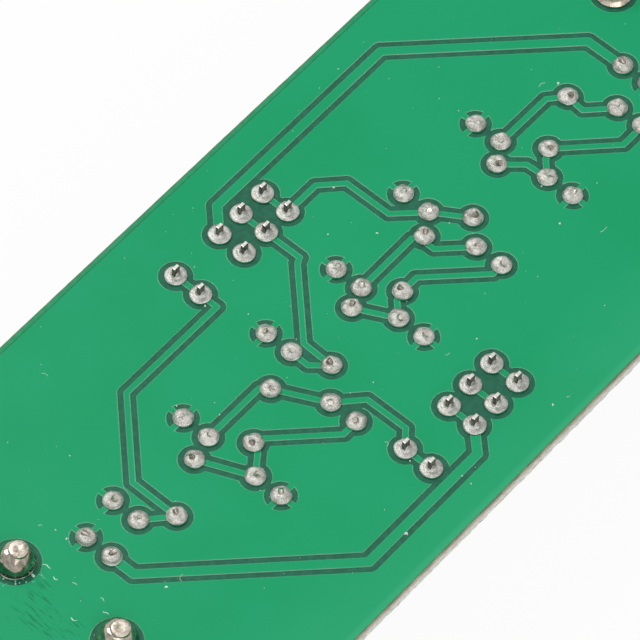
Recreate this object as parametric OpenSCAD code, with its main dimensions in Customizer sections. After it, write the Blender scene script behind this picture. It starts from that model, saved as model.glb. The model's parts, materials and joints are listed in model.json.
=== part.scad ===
// Switched three-band low pass filter board, lying with its solder side up on the two jack housings.
// X runs along the board from jack to jack, Y across it, and Z = 0 is the surface that the housings rest on.

/* [Board] */
// Length of the board
board_len = 85; // [84:1:110]
// Width of the board
board_w = 36.8; // [36:0.2:50]
// Thickness of the laminate
board_t = 1.6; // [0.8:0.1:2.4]
// Thickness of a copper foil with its solder mask
foil_t = 0.07; // [0.04:0.01:0.14]
// Bare stripe between a foil and the edge of the board
foil_margin = 0.5; // [0.3:0.1:1]
// Bare stripe between a foil and the front edge of the board
front_margin = 0.14; // [0.1:0.02:1]
// Diameter of a corner mounting hole
mount_d = 3.2; // [2.2:0.1:3.6]
// Distance of a mounting hole from the edges of the board
mount_inset = 3.5; // [3:0.1:4.5]
// Bare ring around a mounting hole, for the head of its screw
mount_ring = 1.2; // [0.5:0.1:1.4]

/* [Pads and tracks] */
// Pitch of the pins, which the whole layout follows
pin_pitch = 2.54; // [2.5:0.01:2.6]
// Diameter of the pads of the coils, capacitors and jack pins
pad_d = 1.62; // [1.42:0.05:1.72]
// Diameter of the pads of the switches
switch_pad_d = 1.78; // [1.6:0.02:1.9]
// Diameter of the pads of the jack posts
post_pad_d = 3.1; // [2.9:0.1:3.6]
// Width of a filter track
track_w = 0.5; // [0.3:0.05:0.7]
// Width of a track to a jack
jack_track_w = 0.8; // [0.5:0.1:1.2]
// Width of the bare channel around a track or a pad
isolation = 0.47; // [0.3:0.01:0.5]
// Width of the spokes between a ground pad and the ground plane
spoke_w = 0.5; // [0.3:0.05:0.7]

/* [Solder] */
// Height of the solder on a switch pin
pin_solder_h = 0.85; // [0.5:0.05:1.1]
// Height of the solder on a coil or capacitor lead
lead_solder_h = 0.46; // [0.4:0.02:0.7]
// Height of the solder on a jack post
post_solder_h = 1.8; // [1:0.1:2]
// Gap between a lead and the wall of its hole, filled with solder
hole_gap = 0.15; // [0.1:0.01:0.2]

/* [Switches] */
// Length of a switch base
switch_len = 15.6; // [15:0.1:18]
// Width of a switch base
switch_w = 7.2; // [6.8:0.1:8]
// Thickness of a switch base
switch_base_t = 1.6; // [1.2:0.1:2]
// Sheet thickness of a switch cover
cover_t = 0.3; // [0.2:0.05:0.5]
// Width of a switch pin
pin_w = 0.6; // [0.5:0.05:0.7]
// Thickness of a switch pin
pin_t = 0.3; // [0.2:0.05:0.4]
// Length of a switch pin above the solder side
pin_out = 1.3; // [1.2:0.1:2]
// Length of the knob's stem along its travel
knob_len = 4.2; // [3.5:0.1:4.6]
// Width of the knob's stem
knob_w = 3; // [2.5:0.1:3.4]
// Height of the knob above its cover
knob_h = 4; // [2.5:0.1:5]

/* [Jacks] */
// Length of a jack housing
jack_len = 14.2; // [13.6:0.1:15]
// Width of a jack housing
jack_w = 14.5; // [14:0.1:16]
// Height of a jack housing, and so of the board above the surface
jack_h = 14.5; // [14:0.1:16]
// Reach of a housing behind its signal pin
jack_rear = 1.7; // [1.4:0.1:1.8]
// Diameter of a jack barrel
barrel_d = 9.6; // [9.4:0.1:9.8]
// Bore of a jack barrel
barrel_bore_d = 8.1; // [7.9:0.1:8.2]
// Length of a barrel in front of its housing
barrel_out = 15; // [14:0.5:20]
// Length of a barrel inside its housing
barrel_in = 8; // [7:0.1:8.4]
// Diameter of the flange between a barrel and its housing
flange_d = 12.4; // [12:0.1:13]
// Diameter of the thread in front of the flange
thread_d = 11.4; // [10.8:0.1:11.8]
// Length of the thread
thread_len = 3.2; // [2.4:0.8:4]
// Diameter of a bayonet stud
stud_d = 2; // [1.8:0.1:2.2]
// Diameter over both bayonet studs
stud_span = 11; // [10.6:0.1:11.2]
// Diameter of a jack post
post_d = 1.95; // [1.7:0.05:2]
// Length of a jack post above the solder side
post_out = 2; // [1.9:0.1:3]
// Diameter of the signal and ground pins
jack_pin_d = 0.9; // [0.7:0.05:1]

/* [Coils] */
// Outer diameter of a ring core
core_od = 9.5; // [9:0.1:10]
// Inner diameter of a ring core
core_id = 5.2; // [5:0.1:5.6]
// Thickness of a ring core
core_t = 3.25; // [2.8:0.05:3.4]
// Diameter of the winding wire
wire_d = 0.5; // [0.4:0.05:0.55]
// Height of a coil above the board
coil_lift = 0.3; // [0.2:0.05:1]

/* [Capacitors] */
// Diameter of a capacitor body
cap_d = 5.2; // [4.4:0.1:5.4]
// Thickness of a capacitor body
cap_t = 2.4; // [2:0.1:2.5]
// Diameter of a capacitor lead
lead_d = 0.5; // [0.4:0.05:0.6]
// Length of a lead between the board and the body
cap_lift = 1.6; // [1:0.1:3]
// Mean length of a lead above the solder side
lead_out = 0.7; // [0.65:0.05:1.4]

/* [Hidden] */
$fn = 48;

// Names of the sub-parts
jack_sides = ["left", "right"];
jack_pieces = ["housing", "barrel", "insulator", "contact", "ground_pin", "posts"];
switch_sides = ["rear", "front"];
switch_pieces = ["base", "cover", "pins", "knob", "wipers"];
bands = [0, 1, 2];
coil_kinds = ["input", "trap"];
coil_pieces = ["core", "winding"];
cap_kinds = ["input", "middle", "trap", "output"];
function jack_name(side, piece) = str(jack_sides[side], "_jack_", piece);
function switch_name(side, piece) = str(switch_sides[side], "_switch_", piece);
function coil_name(band, kind, piece) = str("band_", band + 1, "_", coil_kinds[kind], "_coil_", piece);
function cap_name(band, kind) = str("band_", band + 1, "_", cap_kinds[kind], "_capacitor");
function lead_name(band) = str("band_", band + 1, "_capacitor_leads");

// Clearances and small sizes
overrun = 0.5;
seat = 0.02;
slide_gap = 0.12;
bar_share = 0.99;
joint_steps = 6;
joint_rim_h = 0.1;

// Levels of the stack, from the component side up to the solder side
component_z = jack_h;
laminate_z = component_z + foil_t;
solder_foil_z = laminate_z + board_t;
solder_z = solder_foil_z + foil_t;
stack_t = board_t + 2 * foil_t;

// Places in pin pitches from the middle of the board, as seen on the solder side
switch_shares = [[-1.2, 4.48], [-1.26, -4.67]];
switch_col_shares = [-2, 0, 1, 2];
switch_row_share = 0.5;
jack_shares = [[-11.8, -0.11], [11.8, -0.22]];
jack_post_shares = [2, 2];
jack_ground_share = 1;
coil_lead_shares = [
    [[[-9.5, -0.62], [-7.68, 0.28]], [[-6.09, -0.65], [-4.33, 0.21]]],
    [[[-2.49, -0.61], [-0.54, 0.27]], [[0.93, -0.5], [2.89, 0.29]]],
    [[[4.39, -0.38], [6.38, 0.34]], [[7.88, -0.48], [9.77, 0.31]]]
];
cap_shares = [
    [[-10.34, 0.64], [-6.93, -1.96], [-3.5, -1.95], [-6.83, 0.98]],
    [[-2.94, 1.09], [0.12, -1.53], [3.64, -1.63], [0.2, 1.01]],
    [[3.65, 1.27], [7.03, -1.63], [10.46, -1.6], [7.1, 1.28]]
];
cap_lead_share = 0.5;

function at(shares) = pin_pitch * shares;
function at_all(table) = [for (shares = table) at(shares)];
function switch_pin(side, col, row) =
    at(switch_shares[side] + [switch_col_shares[col], row * switch_row_share]);
function coil_lead(band, kind, end) = at(coil_lead_shares[band][kind][end]);
function coil_middle(band, kind) = (coil_lead(band, kind, 0) + coil_lead(band, kind, 1)) / 2;
function cap_middle(band, kind) = at(cap_shares[band][kind]);
function cap_lead(band, kind, end) = cap_middle(band, kind) + at([0, end * cap_lead_share]);
// The left jack faces -X, so its own axes are turned half round
function jack_facing(side) = side == 0 ? -1 : 1;
function jack_signal(side) = at(jack_shares[side]);
function jack_ground(side) = jack_signal(side) - at([0, jack_facing(side) * jack_ground_share]);
function jack_post(side, end) =
    jack_signal(side) + at([jack_facing(side) * jack_post_shares[0], end * jack_post_shares[1]]);
mounts = [
    for (x = [-1, 1], y = [-1, 1]) [x * (board_len / 2 - mount_inset), y * (board_w / 2 - mount_inset)]
];
switch_pins = [for (side = [0, 1], col = [0 : 3], row = [-1, 1]) switch_pin(side, col, row)];
coil_leads = [for (band = bands, kind = [0, 1], end = [0, 1]) coil_lead(band, kind, end)];
cap_leads = [for (band = bands, kind = [0 : 3], end = [-1, 1]) cap_lead(band, kind, end)];
jack_signals = [for (side = [0, 1]) jack_signal(side)];
jack_grounds = [for (side = [0, 1]) jack_ground(side)];
jack_posts = [for (side = [0, 1], end = [-1, 1]) jack_post(side, end)];
// The outer lead of each shunt capacitor is grounded: above for input and output, below for the middle
ground_leads = [
    for (band = bands, kind = [0, 1, 3]) cap_lead(band, kind, kind == 1 ? -1 : 1)
];
live_leads = concat(
    coil_leads,
    jack_signals,
    [for (band = bands, kind = [0, 1, 3]) cap_lead(band, kind, kind == 1 ? 1 : -1)],
    [for (band = bands, end = [-1, 1]) cap_lead(band, 2, end)]
);

// Spokes of each ground pad as turns from +X, with none towards its live neighbour or a track
upper_turns = [0, 90, 180];
lower_turns = [180, 270, 360];
ground_turns = [
    [90, 180], lower_turns, upper_turns,
    upper_turns, lower_turns, upper_turns,
    [0, 90], lower_turns, upper_turns,
    upper_turns, lower_turns
];

// Neighbouring pads with no strip of the ground plane between them
pair_gap_share = 1.5;
pad_pairs = concat(
    [for (band = bands, kind = [0 : 3]) [cap_lead(band, kind, -1), cap_lead(band, kind, 1)]],
    [for (side = [0, 1], col = [0 : 3]) [switch_pin(side, col, -1), switch_pin(side, col, 1)]],
    [for (side = [0, 1]) [jack_signal(side), jack_ground(side)]]
);

// Bends of the tracks in pin pitches
left_jack_bend_shares = [[-11.8, -0.98], [-6.92, -5.87], [-1.95, -5.87]];
right_jack_bend_shares = [[-0.45, 5.73], [7.24, 5.73], [11.8, 1.17]];
band_1_rise_bend_shares = [[-6.24, -0.95]];
band_2_rise_bend_shares = [[0.58, -0.58]];
band_3_rise_bend_shares = [[7.53, -0.66]];
band_1_in_bend_shares = [[-3.2, 3.33], [-7.28, 3.33], [-9.49, 1.12]];
band_1_mid_bend_shares = [[-5.89, -0.65], [-4.08, -2.45]];
band_1_tie_bend_shares = [[-4.53, 0.48]];
band_1_out_bend_shares = [[-2.69, -2.19], [-2.69, -3.7]];
band_2_in_bend_shares = [[-0.2, 2.62], [-0.4, 2.54], [-2.45, 0.51]];
band_2_shunt_bend_shares = [[-2.95, -0.08]];
band_2_mid_bend_shares = [[1.6, -0.49], [3.23, -2.13]];
band_2_tie_bend_shares = [[2.6, 0.53]];
band_2_trap_bend_shares = [[2.74, 0.12], [2.74, -0.22]];
band_3_in_bend_shares = [[2.11, 3.98], [2.8, 3.32], [2.8, 1.64]];
band_3_mid_bend_shares = [[6.99, -0.35]];
band_3_low_bend_shares = [[9.53, -2.1]];
band_3_tie_bend_shares = [[9.27, 0.76]];
band_3_trap_bend_shares = [[9.69, -0.35]];
band_2_out_bend_shares = [[1.4, -3.37], [0.55, -3.37]];
band_3_out_bend_shares = [[7.39, -4.17]];

jack_routes = [
    concat([jack_signal(0)], at_all(left_jack_bend_shares), [switch_pin(1, 1, -1)]),
    concat([switch_pin(0, 1, 1)], at_all(right_jack_bend_shares), [jack_signal(1)])
];
band_1_routes = [
    concat([switch_pin(0, 0, -1)], at_all(band_1_in_bend_shares), [coil_lead(0, 0, 0), cap_lead(0, 0, -1)]),
    concat(
        [coil_lead(0, 0, 1), cap_lead(0, 1, 1)],
        at_all(band_1_rise_bend_shares),
        [coil_lead(0, 1, 0)],
        at_all(band_1_mid_bend_shares),
        [cap_lead(0, 2, -1)]
    ),
    concat([cap_lead(0, 3, -1)], at_all(band_1_tie_bend_shares), [coil_lead(0, 1, 1), cap_lead(0, 2, 1)]),
    concat([cap_lead(0, 2, 1)], at_all(band_1_out_bend_shares), [switch_pin(1, 0, 1)])
];
band_2_routes = [
    concat([switch_pin(0, 2, -1)], at_all(band_2_in_bend_shares), [coil_lead(1, 0, 0)]),
    concat([cap_lead(1, 0, -1)], at_all(band_2_shunt_bend_shares), [coil_lead(1, 0, 0)]),
    concat(
        [coil_lead(1, 0, 1), cap_lead(1, 1, 1)],
        at_all(band_2_rise_bend_shares),
        [coil_lead(1, 1, 0)],
        at_all(band_2_mid_bend_shares),
        [cap_lead(1, 2, -1)]
    ),
    concat([cap_lead(1, 3, -1)], at_all(band_2_tie_bend_shares), [coil_lead(1, 1, 1)]),
    concat([coil_lead(1, 1, 1)], at_all(band_2_trap_bend_shares), [cap_lead(1, 2, 1)])
];
band_3_routes = [
    concat([switch_pin(0, 3, -1)], at_all(band_3_in_bend_shares), [cap_lead(2, 0, -1), coil_lead(2, 0, 0)]),
    concat(
        [coil_lead(2, 0, 1)],
        at_all(band_3_mid_bend_shares),
        [cap_lead(2, 1, 1)],
        at_all(band_3_rise_bend_shares),
        [coil_lead(2, 1, 0)]
    ),
    concat([coil_lead(2, 1, 0)], at_all(band_3_low_bend_shares), [cap_lead(2, 2, -1)]),
    concat([cap_lead(2, 3, -1)], at_all(band_3_tie_bend_shares), [coil_lead(2, 1, 1)]),
    concat([coil_lead(2, 1, 1)], at_all(band_3_trap_bend_shares), [cap_lead(2, 2, 1)])
];
// Rows of each switch are joined column by column, apart from the rear switch's common pins
link_routes = [
    for (side = [0, 1], col = [0 : 3]) if (side == 1 || col != 1)
        [switch_pin(side, col, -1), switch_pin(side, col, 1)]
];
filter_routes = concat(band_1_routes, band_2_routes, band_3_routes, link_routes);
component_routes = [
    concat([cap_lead(1, 2, 1)], at_all(band_2_out_bend_shares), [switch_pin(1, 2, 1)]),
    concat([cap_lead(2, 2, 1)], at_all(band_3_out_bend_shares), [switch_pin(1, 3, 1)]),
    [switch_pin(0, 1, -1), switch_pin(0, 1, 1)]
];

// Hole diameters
lead_hole_d = max(lead_d, wire_d) + 2 * hole_gap;
pin_hole_d = norm([pin_w, pin_t]) + 2 * hole_gap;
jack_hole_d = jack_pin_d + 2 * hole_gap;
post_hole_d = post_d + 2 * hole_gap;

// Switch levels above the component side, from the base up to the knob
contact_rise = 0.6;
contact_gap = 0.06;
wiper_t = 0.25;
bump_round_share = 1.8;
bump_d = bump_round_share * wiper_t;
wiper_w = 0.9;
carriage_t = 1.3;
bump_share = 0.5;
pin_top = switch_base_t + contact_rise;
wiper_z = pin_top + contact_gap + bump_d / 2;
carriage_z = wiper_z + wiper_t;
cover_h = carriage_z + carriage_t + slide_gap + cover_t;
knob_travel = pin_pitch;
carriage_w = switch_w - 2 * slide_gap;
carriage_len = switch_len - 2 * knob_travel - 2 * slide_gap;
slot_len = knob_len + 2 * knob_travel + 2 * slide_gap;
slot_w = knob_w + 2 * slide_gap;
grip_d = 0.6;
grip_share = 0.25;
grip_count = 3;

// Jack sizes behind and inside the barrel
jack_axis_h = jack_h / 2;
jack_front = jack_len - jack_rear;
barrel_rear = jack_front - barrel_in;
barrel_front = jack_front + barrel_out;
flange_t = 1.6;
thread_pitch = 0.8;
thread_t = 0.4;
thread_count = round(thread_len / thread_pitch);
thread_z = jack_front + flange_t;
housing_bevel = 0.8;
flute_w = 1.6;
flute_t = 0.5;
flute_shares = [0.2, 0.5, 0.8];
ejector_d = 2.4;
ejector_t = 0.2;
ejector_y = jack_w / 2 - housing_bevel - ejector_d;
ejector_shares = [0.18, 0.82];
barrel_bevel = 0.4;
pocket_len = 1.5;
pocket_w = 7.4;
socket_depth = 8.4;
nose_d = 4.7;
nose_len = 5.4;
contact_d = 2.1;
contact_bore_d = 1.4;
contact_bore_len = 4;
stud_setback = 5.2;
post_in = 4;
post_round = 0.35;
jack_pin_out = 0.4;
pocket_h = jack_axis_h + contact_d;
socket_x = barrel_front - socket_depth;
nose_x = socket_x + nose_len;
// The ground pin meets the middle of the barrel's rear face
barrel_wall_r = (barrel_d + barrel_bore_d) / 4;
ground_y = at(jack_ground_share);
ground_z = jack_axis_h - sqrt(barrel_wall_r * barrel_wall_r - ground_y * ground_y);
ground_d = min(jack_pin_d, (barrel_d - barrel_bore_d) / 2);

// Coil sizes
core_bevel = 0.5;
wire_gap = 0.05;
wire_bend = 0.5;
wire_sides = 6;
coil_turns = [17, 14, 12];
coil_gap_angle = 30;
wire_offset = wire_d / 2 + wire_gap;
coil_axis_z = coil_lift + wire_d + wire_gap + core_od / 2;
wire_ro = core_od / 2 + wire_offset;
wire_ri = core_id / 2 - wire_offset;
wire_x = core_t / 2 + wire_offset;

// Capacitor sizes
cap_profile_steps = 8;
cap_power_share = 0.55;
cap_skirt_h = 0.8;
cap_skirt_d = 1.3;
cap_axis_z = cap_lift + cap_skirt_h / 2 + cap_d / 2;
lead_spread = 0.1;
spread_angle = 137.5;
function lead_tip(i) = lead_out + lead_spread * sin(spread_angle * i);

// Puts a piece that is drawn upwards from the component side in its place below the board
module below_board(place, turn = 0) {
    translate([place.x, place.y, component_z]) mirror([0, 0, 1]) rotate(turn) children();
}

module jack_place(side) {
    below_board(jack_signal(side), side == 0 ? 180 : 0) children();
}

module switch_place(side) {
    below_board(at(switch_shares[side])) children();
}

// Turns a revolved profile from Z to X at the height of the jack's axis
module along_jack() {
    translate([0, 0, jack_axis_h]) rotate([0, 90, 0]) children();
}

module spots(places, d) {
    for (place = places) translate(place) circle(d = d);
}

module bar(from, to, width) {
    run = to - from;
    translate(from) rotate(atan2(run.y, run.x)) translate([0, -width / 2]) square([norm(run), width]);
}

module route(points, width) {
    spots(points, width);
    for (i = [1 : len(points) - 1]) bar(points[i - 1], points[i], width * bar_share);
}

module routes(list, width) {
    for (points = list) route(points, width);
}

module lead_holes() {
    spots(concat(coil_leads, cap_leads), lead_hole_d);
    spots(switch_pins, pin_hole_d);
    spots(concat(jack_signals, jack_grounds), jack_hole_d);
    spots(jack_posts, post_hole_d);
}

module pads() {
    spots(concat(coil_leads, cap_leads, jack_signals, jack_grounds), pad_d);
    spots(switch_pins, switch_pad_d);
    spots(jack_posts, post_pad_d);
}

// The bare area between a switch's close columns and the track behind holds no scraps of the ground plane
module switch_clearance(side) {
    spots([for (col = [0 : 3], row = [-1, 1]) switch_pin(side, col, row)], switch_pad_d + 2 * isolation);
    low = switch_pin(side, 1, -1);
    high = switch_pin(side, 3, 1);
    behind = side == 0 ? (switch_pad_d + isolation) / 2 : 0;
    translate(low) square(high - low + [0, behind]);
}

module pair_clearances() {
    for (pair = pad_pairs) bar(pair[0], pair[1], pair_gap_share * isolation);
}

module pad_clearances() {
    pair_clearances();
    for (side = [0, 1]) switch_clearance(side);
    spots(live_leads, pad_d + 2 * isolation);
    spots(concat(ground_leads, jack_grounds), pad_d + 2 * isolation);
    spots(jack_posts, post_pad_d + 2 * isolation);
}

module spokes() {
    grounds = concat(ground_leads, jack_grounds);
    for (i = [0 : len(grounds) - 1], turn = ground_turns[i])
        translate(grounds[i]) rotate(turn) translate([0, -spoke_w / 2])
            square([pad_d / 2 + 2 * isolation, spoke_w]);
}

// A ground plane with channels round every live pad and track, and spokes on the ground pads
module ground_plane(list, jack_list) {
    difference() {
        translate([foil_margin - board_len / 2, front_margin - board_w / 2])
            square([board_len - 2 * foil_margin, board_w - foil_margin - front_margin]);
        spots(mounts, mount_d + 2 * mount_ring);
        pad_clearances();
        routes(list, track_w + 2 * isolation);
        routes(jack_list, jack_track_w + 2 * isolation);
    }
    difference() {
        spokes();
        spots(live_leads, pad_d + 2 * isolation);
        routes(list, track_w + 2 * isolation);
        routes(jack_list, jack_track_w + 2 * isolation);
    }
}

module foil(list, jack_list) {
    linear_extrude(foil_t) difference() {
        union() {
            ground_plane(list, jack_list);
            pads();
            routes(list, track_w);
            routes(jack_list, jack_track_w);
        }
        lead_holes();
    }
}

module board() {
    color([0.16, 0.42, 0.3]) translate([0, 0, laminate_z]) linear_extrude(board_t) difference() {
        square([board_len, board_w], center = true);
        spots(mounts, mount_d);
        lead_holes();
    }
}

module solder_side_foil() {
    color([0.14, 0.62, 0.41]) translate([0, 0, solder_foil_z]) foil(filter_routes, jack_routes);
}

module component_side_foil() {
    color([0.14, 0.62, 0.41]) translate([0, 0, component_z]) foil(component_routes, []);
}

// Solder on one joint: a plug down the hole, a rim on the pad and a slope to the pin, hollow below a power of 1
module solder_joint(pad_r, hole_r, pin_r, bore_r, rise, power_share) {
    slope = [
        for (i = [0 : joint_steps]) let (t = i / joint_steps)
            [pin_r + (pad_r - pin_r) * pow(1 - t, 1 / power_share), joint_rim_h + (rise - joint_rim_h) * t]
    ];
    plug = [[bore_r, -stack_t], [hole_r, -stack_t], [hole_r, 0], [pad_r, 0]];
    rotate_extrude() polygon(concat(plug, slope, [[bore_r, rise]]));
}

pin_slope_share = 0.45;
lead_slope_share = 1.9;
post_slope_share = 1.6;

module switch_solder() {
    pin_r = norm([pin_w, pin_t]) / 2 + seat;
    color([0.72, 0.72, 0.7]) for (place = switch_pins) translate([place.x, place.y, solder_z]) difference() {
        solder_joint(switch_pad_d / 2, pin_hole_d / 2 - seat, pin_r + seat, 0, pin_solder_h, pin_slope_share);
        translate([0, 0, -stack_t - overrun])
            linear_extrude(stack_t + pin_solder_h + 2 * overrun)
                square([pin_w + 2 * seat, pin_t + 2 * seat], center = true);
    }
}

module lead_solder() {
    color([0.74, 0.74, 0.73]) {
        for (place = coil_leads) translate([place.x, place.y, solder_z])
            lead_joint(wire_d / 2 + seat);
        for (place = cap_leads) translate([place.x, place.y, solder_z])
            lead_joint(lead_d / 2 + seat);
    }
}

module lead_joint(bore_r) {
    solder_joint(pad_d / 2, lead_hole_d / 2 - seat, bore_r + seat, bore_r, lead_solder_h, lead_slope_share);
}

module jack_solder() {
    pin_r = jack_pin_d / 2 + seat;
    post_r = post_d / 2 + seat;
    color([0.66, 0.65, 0.62]) {
        for (place = concat(jack_signals, jack_grounds)) translate([place.x, place.y, solder_z])
            solder_joint(pad_d / 2, jack_hole_d / 2 - seat, pin_r + seat, pin_r, lead_solder_h, lead_slope_share);
        for (place = jack_posts) translate([place.x, place.y, solder_z])
            solder_joint(
                post_pad_d / 2, post_hole_d / 2 - seat, post_r + seat, post_r, post_solder_h, post_slope_share
            );
    }
}

// A moulded block with bevelled edges and fluted sides, bored for the barrel and open behind for the pins
module jack_housing(side) {
    color([0.13, 0.13, 0.14]) jack_place(side) difference() {
        translate([-jack_rear, 0, 0]) rotate([90, 0, 90]) linear_extrude(jack_len) housing_outline();
        along_jack() translate([0, 0, barrel_rear])
            cylinder(d = barrel_d + 2 * seat, h = barrel_in + overrun);
        along_jack() cylinder(d = contact_d + 2 * seat, h = barrel_rear + overrun);
        translate([0, ground_y * -1, ground_z]) rotate([0, 90, 0])
            cylinder(d = ground_d + 2 * seat, h = barrel_rear + overrun);
        translate([-jack_rear - overrun, -pocket_w / 2, -overrun])
            cube([jack_rear + pocket_len + overrun, pocket_w, pocket_h + overrun]);
        for (end = [-1, 1]) translate([at(jack_post_shares[0]), end * at(jack_post_shares[1]), -overrun])
            cylinder(d = post_d + 2 * seat, h = post_in + overrun);
        for (end = [-1, 1], share = flute_shares)
            translate([share * jack_len - jack_rear, end * jack_w / 2, jack_h / 2])
                cube([flute_w, 2 * flute_t, jack_h + 2 * overrun], center = true);
        for (end = [-1, 1], share = ejector_shares)
            translate([share * jack_len - jack_rear, end * ejector_y, jack_h - ejector_t])
                cylinder(d = ejector_d, h = ejector_t + overrun);
    }
}

module housing_outline() {
    half = jack_w / 2;
    polygon([
        [-half, 0],
        [half, 0],
        [half, jack_h - housing_bevel],
        [half - housing_bevel, jack_h],
        [housing_bevel - half, jack_h],
        [-half, jack_h - housing_bevel]
    ]);
}

// A turned tube with a flange against the housing, a thread drawn as rings and two bayonet studs
module jack_barrel(side) {
    outer_r = barrel_d / 2;
    bore_r = barrel_bore_d / 2;
    root_r = thread_d / 2 - thread_t;
    thread_end = thread_z + thread_count * thread_pitch;
    color([0.78, 0.77, 0.74]) jack_place(side) along_jack() {
        difference() {
            union() {
                rotate_extrude() polygon([
                    [0, barrel_rear],
                    [outer_r, barrel_rear],
                    [outer_r, jack_front],
                    [flange_d / 2, jack_front],
                    [flange_d / 2, thread_z],
                    for (i = [0 : thread_count - 1], share = [0, 0.5])
                        [share > 0 ? thread_d / 2 : root_r, thread_z + (i + share) * thread_pitch],
                    [root_r, thread_end],
                    [outer_r, thread_end],
                    [outer_r, barrel_front - barrel_bevel],
                    [outer_r - barrel_bevel, barrel_front],
                    [0, barrel_front]
                ]);
                translate([0, 0, barrel_front - stud_setback]) rotate([90, 0, 0])
                    cylinder(d = stud_d, h = stud_span, center = true);
            }
            translate([0, 0, barrel_rear - overrun])
                cylinder(r = bore_r, h = barrel_in + barrel_out + 2 * overrun);
        }
    }
}

module jack_insulator(side) {
    body_r = barrel_bore_d / 2 - seat;
    bore_r = contact_d / 2 + seat;
    color([0.9, 0.89, 0.85]) jack_place(side) along_jack() rotate_extrude() polygon([
        [bore_r, barrel_rear],
        [body_r, barrel_rear],
        [body_r, socket_x],
        [nose_d / 2, socket_x],
        [nose_d / 2, nose_x],
        [bore_r, nose_x]
    ]);
}

// The socket along the barrel and the signal pin that turns down into the board
module jack_contact(side) {
    color([0.83, 0.68, 0.36]) jack_place(side) {
        along_jack() difference() {
            translate([0, 0, -contact_d / 2]) cylinder(d = contact_d, h = nose_x + contact_d / 2);
            translate([0, 0, nose_x - contact_bore_len]) cylinder(d = contact_bore_d, h = contact_bore_len + overrun);
        }
        translate([0, 0, -stack_t - jack_pin_out])
            cylinder(d = jack_pin_d, h = stack_t + jack_pin_out + jack_axis_h);
    }
}

module jack_ground_pin(side) {
    color([0.75, 0.74, 0.7]) jack_place(side) translate([0, -ground_y, 0]) {
        translate([0, 0, -stack_t - jack_pin_out])
            cylinder(d = jack_pin_d, h = stack_t + jack_pin_out + ground_z + ground_d / 2);
        translate([0, 0, ground_z]) rotate([0, 90, 0]) cylinder(d = ground_d, h = barrel_rear);
    }
}

// Two stakes with rounded tips that hold the housing on the board
module jack_posts(side) {
    color([0.7, 0.69, 0.66]) jack_place(side) for (end = [-1, 1])
        translate([at(jack_post_shares[0]), end * at(jack_post_shares[1]), 0]) rotate_extrude() post_outline();
}

module post_outline() {
    tip_z = -stack_t - post_out;
    round_r = post_d / 2 - post_round;
    tip = [
        for (i = [0 : joint_steps]) let (angle = 90 * i / joint_steps)
            [round_r + post_round * sin(angle), tip_z + post_round * (1 - cos(angle))]
    ];
    polygon(concat([[0, tip_z]], tip, [[post_d / 2, post_in - seat], [0, post_in - seat]]));
}

module switch_base(side) {
    color([0.1, 0.09, 0.08]) switch_place(side) linear_extrude(switch_base_t) difference() {
        square([switch_len, switch_w], center = true);
        switch_pin_outlines(seat);
    }
}

module switch_pin_outlines(gap) {
    for (col_share = switch_col_shares, row = [-1, 1]) translate(at([col_share, row * switch_row_share]))
        square([pin_w + 2 * gap, pin_t + 2 * gap], center = true);
}

// A folded sheet box over the base, with a slot for the knob
module switch_cover(side) {
    inner_len = switch_len + 2 * seat;
    inner_w = switch_w + 2 * seat;
    color([0.72, 0.71, 0.69]) switch_place(side) difference() {
        translate([-inner_len / 2 - cover_t, -inner_w / 2 - cover_t, 0])
            cube([inner_len + 2 * cover_t, inner_w + 2 * cover_t, cover_h]);
        translate([-inner_len / 2, -inner_w / 2, -overrun])
            cube([inner_len, inner_w, cover_h - cover_t + overrun]);
        translate([-slot_len / 2, -slot_w / 2, 0]) cube([slot_len, slot_w, cover_h + overrun]);
    }
}

module switch_pins(side) {
    color([0.78, 0.77, 0.74]) switch_place(side) translate([0, 0, -stack_t - pin_out])
        linear_extrude(stack_t + pin_out + pin_top) switch_pin_outlines(0);
}

// A carriage under the cover with a ribbed stem through the slot, in its middle position
module switch_knob(side) {
    stem_top = cover_h + knob_h;
    grip_step = knob_len * grip_share;
    color([0.07, 0.07, 0.07]) switch_place(side) difference() {
        union() {
            translate([-carriage_len / 2, -carriage_w / 2, carriage_z])
                cube([carriage_len, carriage_w, carriage_t]);
            translate([-knob_len / 2, -knob_w / 2, carriage_z])
                cube([knob_len, knob_w, stem_top - carriage_z]);
        }
        for (i = [0 : grip_count - 1]) translate([(i - (grip_count - 1) / 2) * grip_step, 0, stem_top])
            rotate([90, 0, 0]) cylinder(d = grip_d, h = knob_w + 2 * overrun, center = true);
    }
}

// Two strips below the carriage, each with two bumps that ride on neighbouring pins
module switch_wipers(side) {
    strip_len = pin_pitch + 2 * bump_d;
    color([0.8, 0.62, 0.3]) switch_place(side) for (row = [-1, 1])
        translate([at(bump_share), row * at(switch_row_share), wiper_z]) {
            translate([-strip_len / 2, -wiper_w / 2, 0]) cube([strip_len, wiper_w, wiper_t]);
            for (end = [-1, 1]) translate([end * at(bump_share), 0, 0]) rotate([90, 0, 0])
                cylinder(d = bump_d, h = wiper_w, center = true);
        }
}

core_colors = [[0.62, 0.14, 0.1], [0.86, 0.74, 0.16], [0.86, 0.74, 0.16]];

module coil_core(band, kind) {
    color(core_colors[band]) below_board(coil_middle(band, kind))
        translate([0, 0, coil_axis_z]) rotate([0, 90, 0]) translate([0, 0, -core_t / 2])
            rotate_extrude() core_outline();
}

module core_outline() {
    ri = core_id / 2;
    ro = core_od / 2;
    polygon([
        [ri + core_bevel, 0],
        [ro - core_bevel, 0],
        [ro, core_bevel],
        [ro, core_t - core_bevel],
        [ro - core_bevel, core_t],
        [ri + core_bevel, core_t],
        [ri, core_t - core_bevel],
        [ri, core_bevel]
    ]);
}

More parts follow.
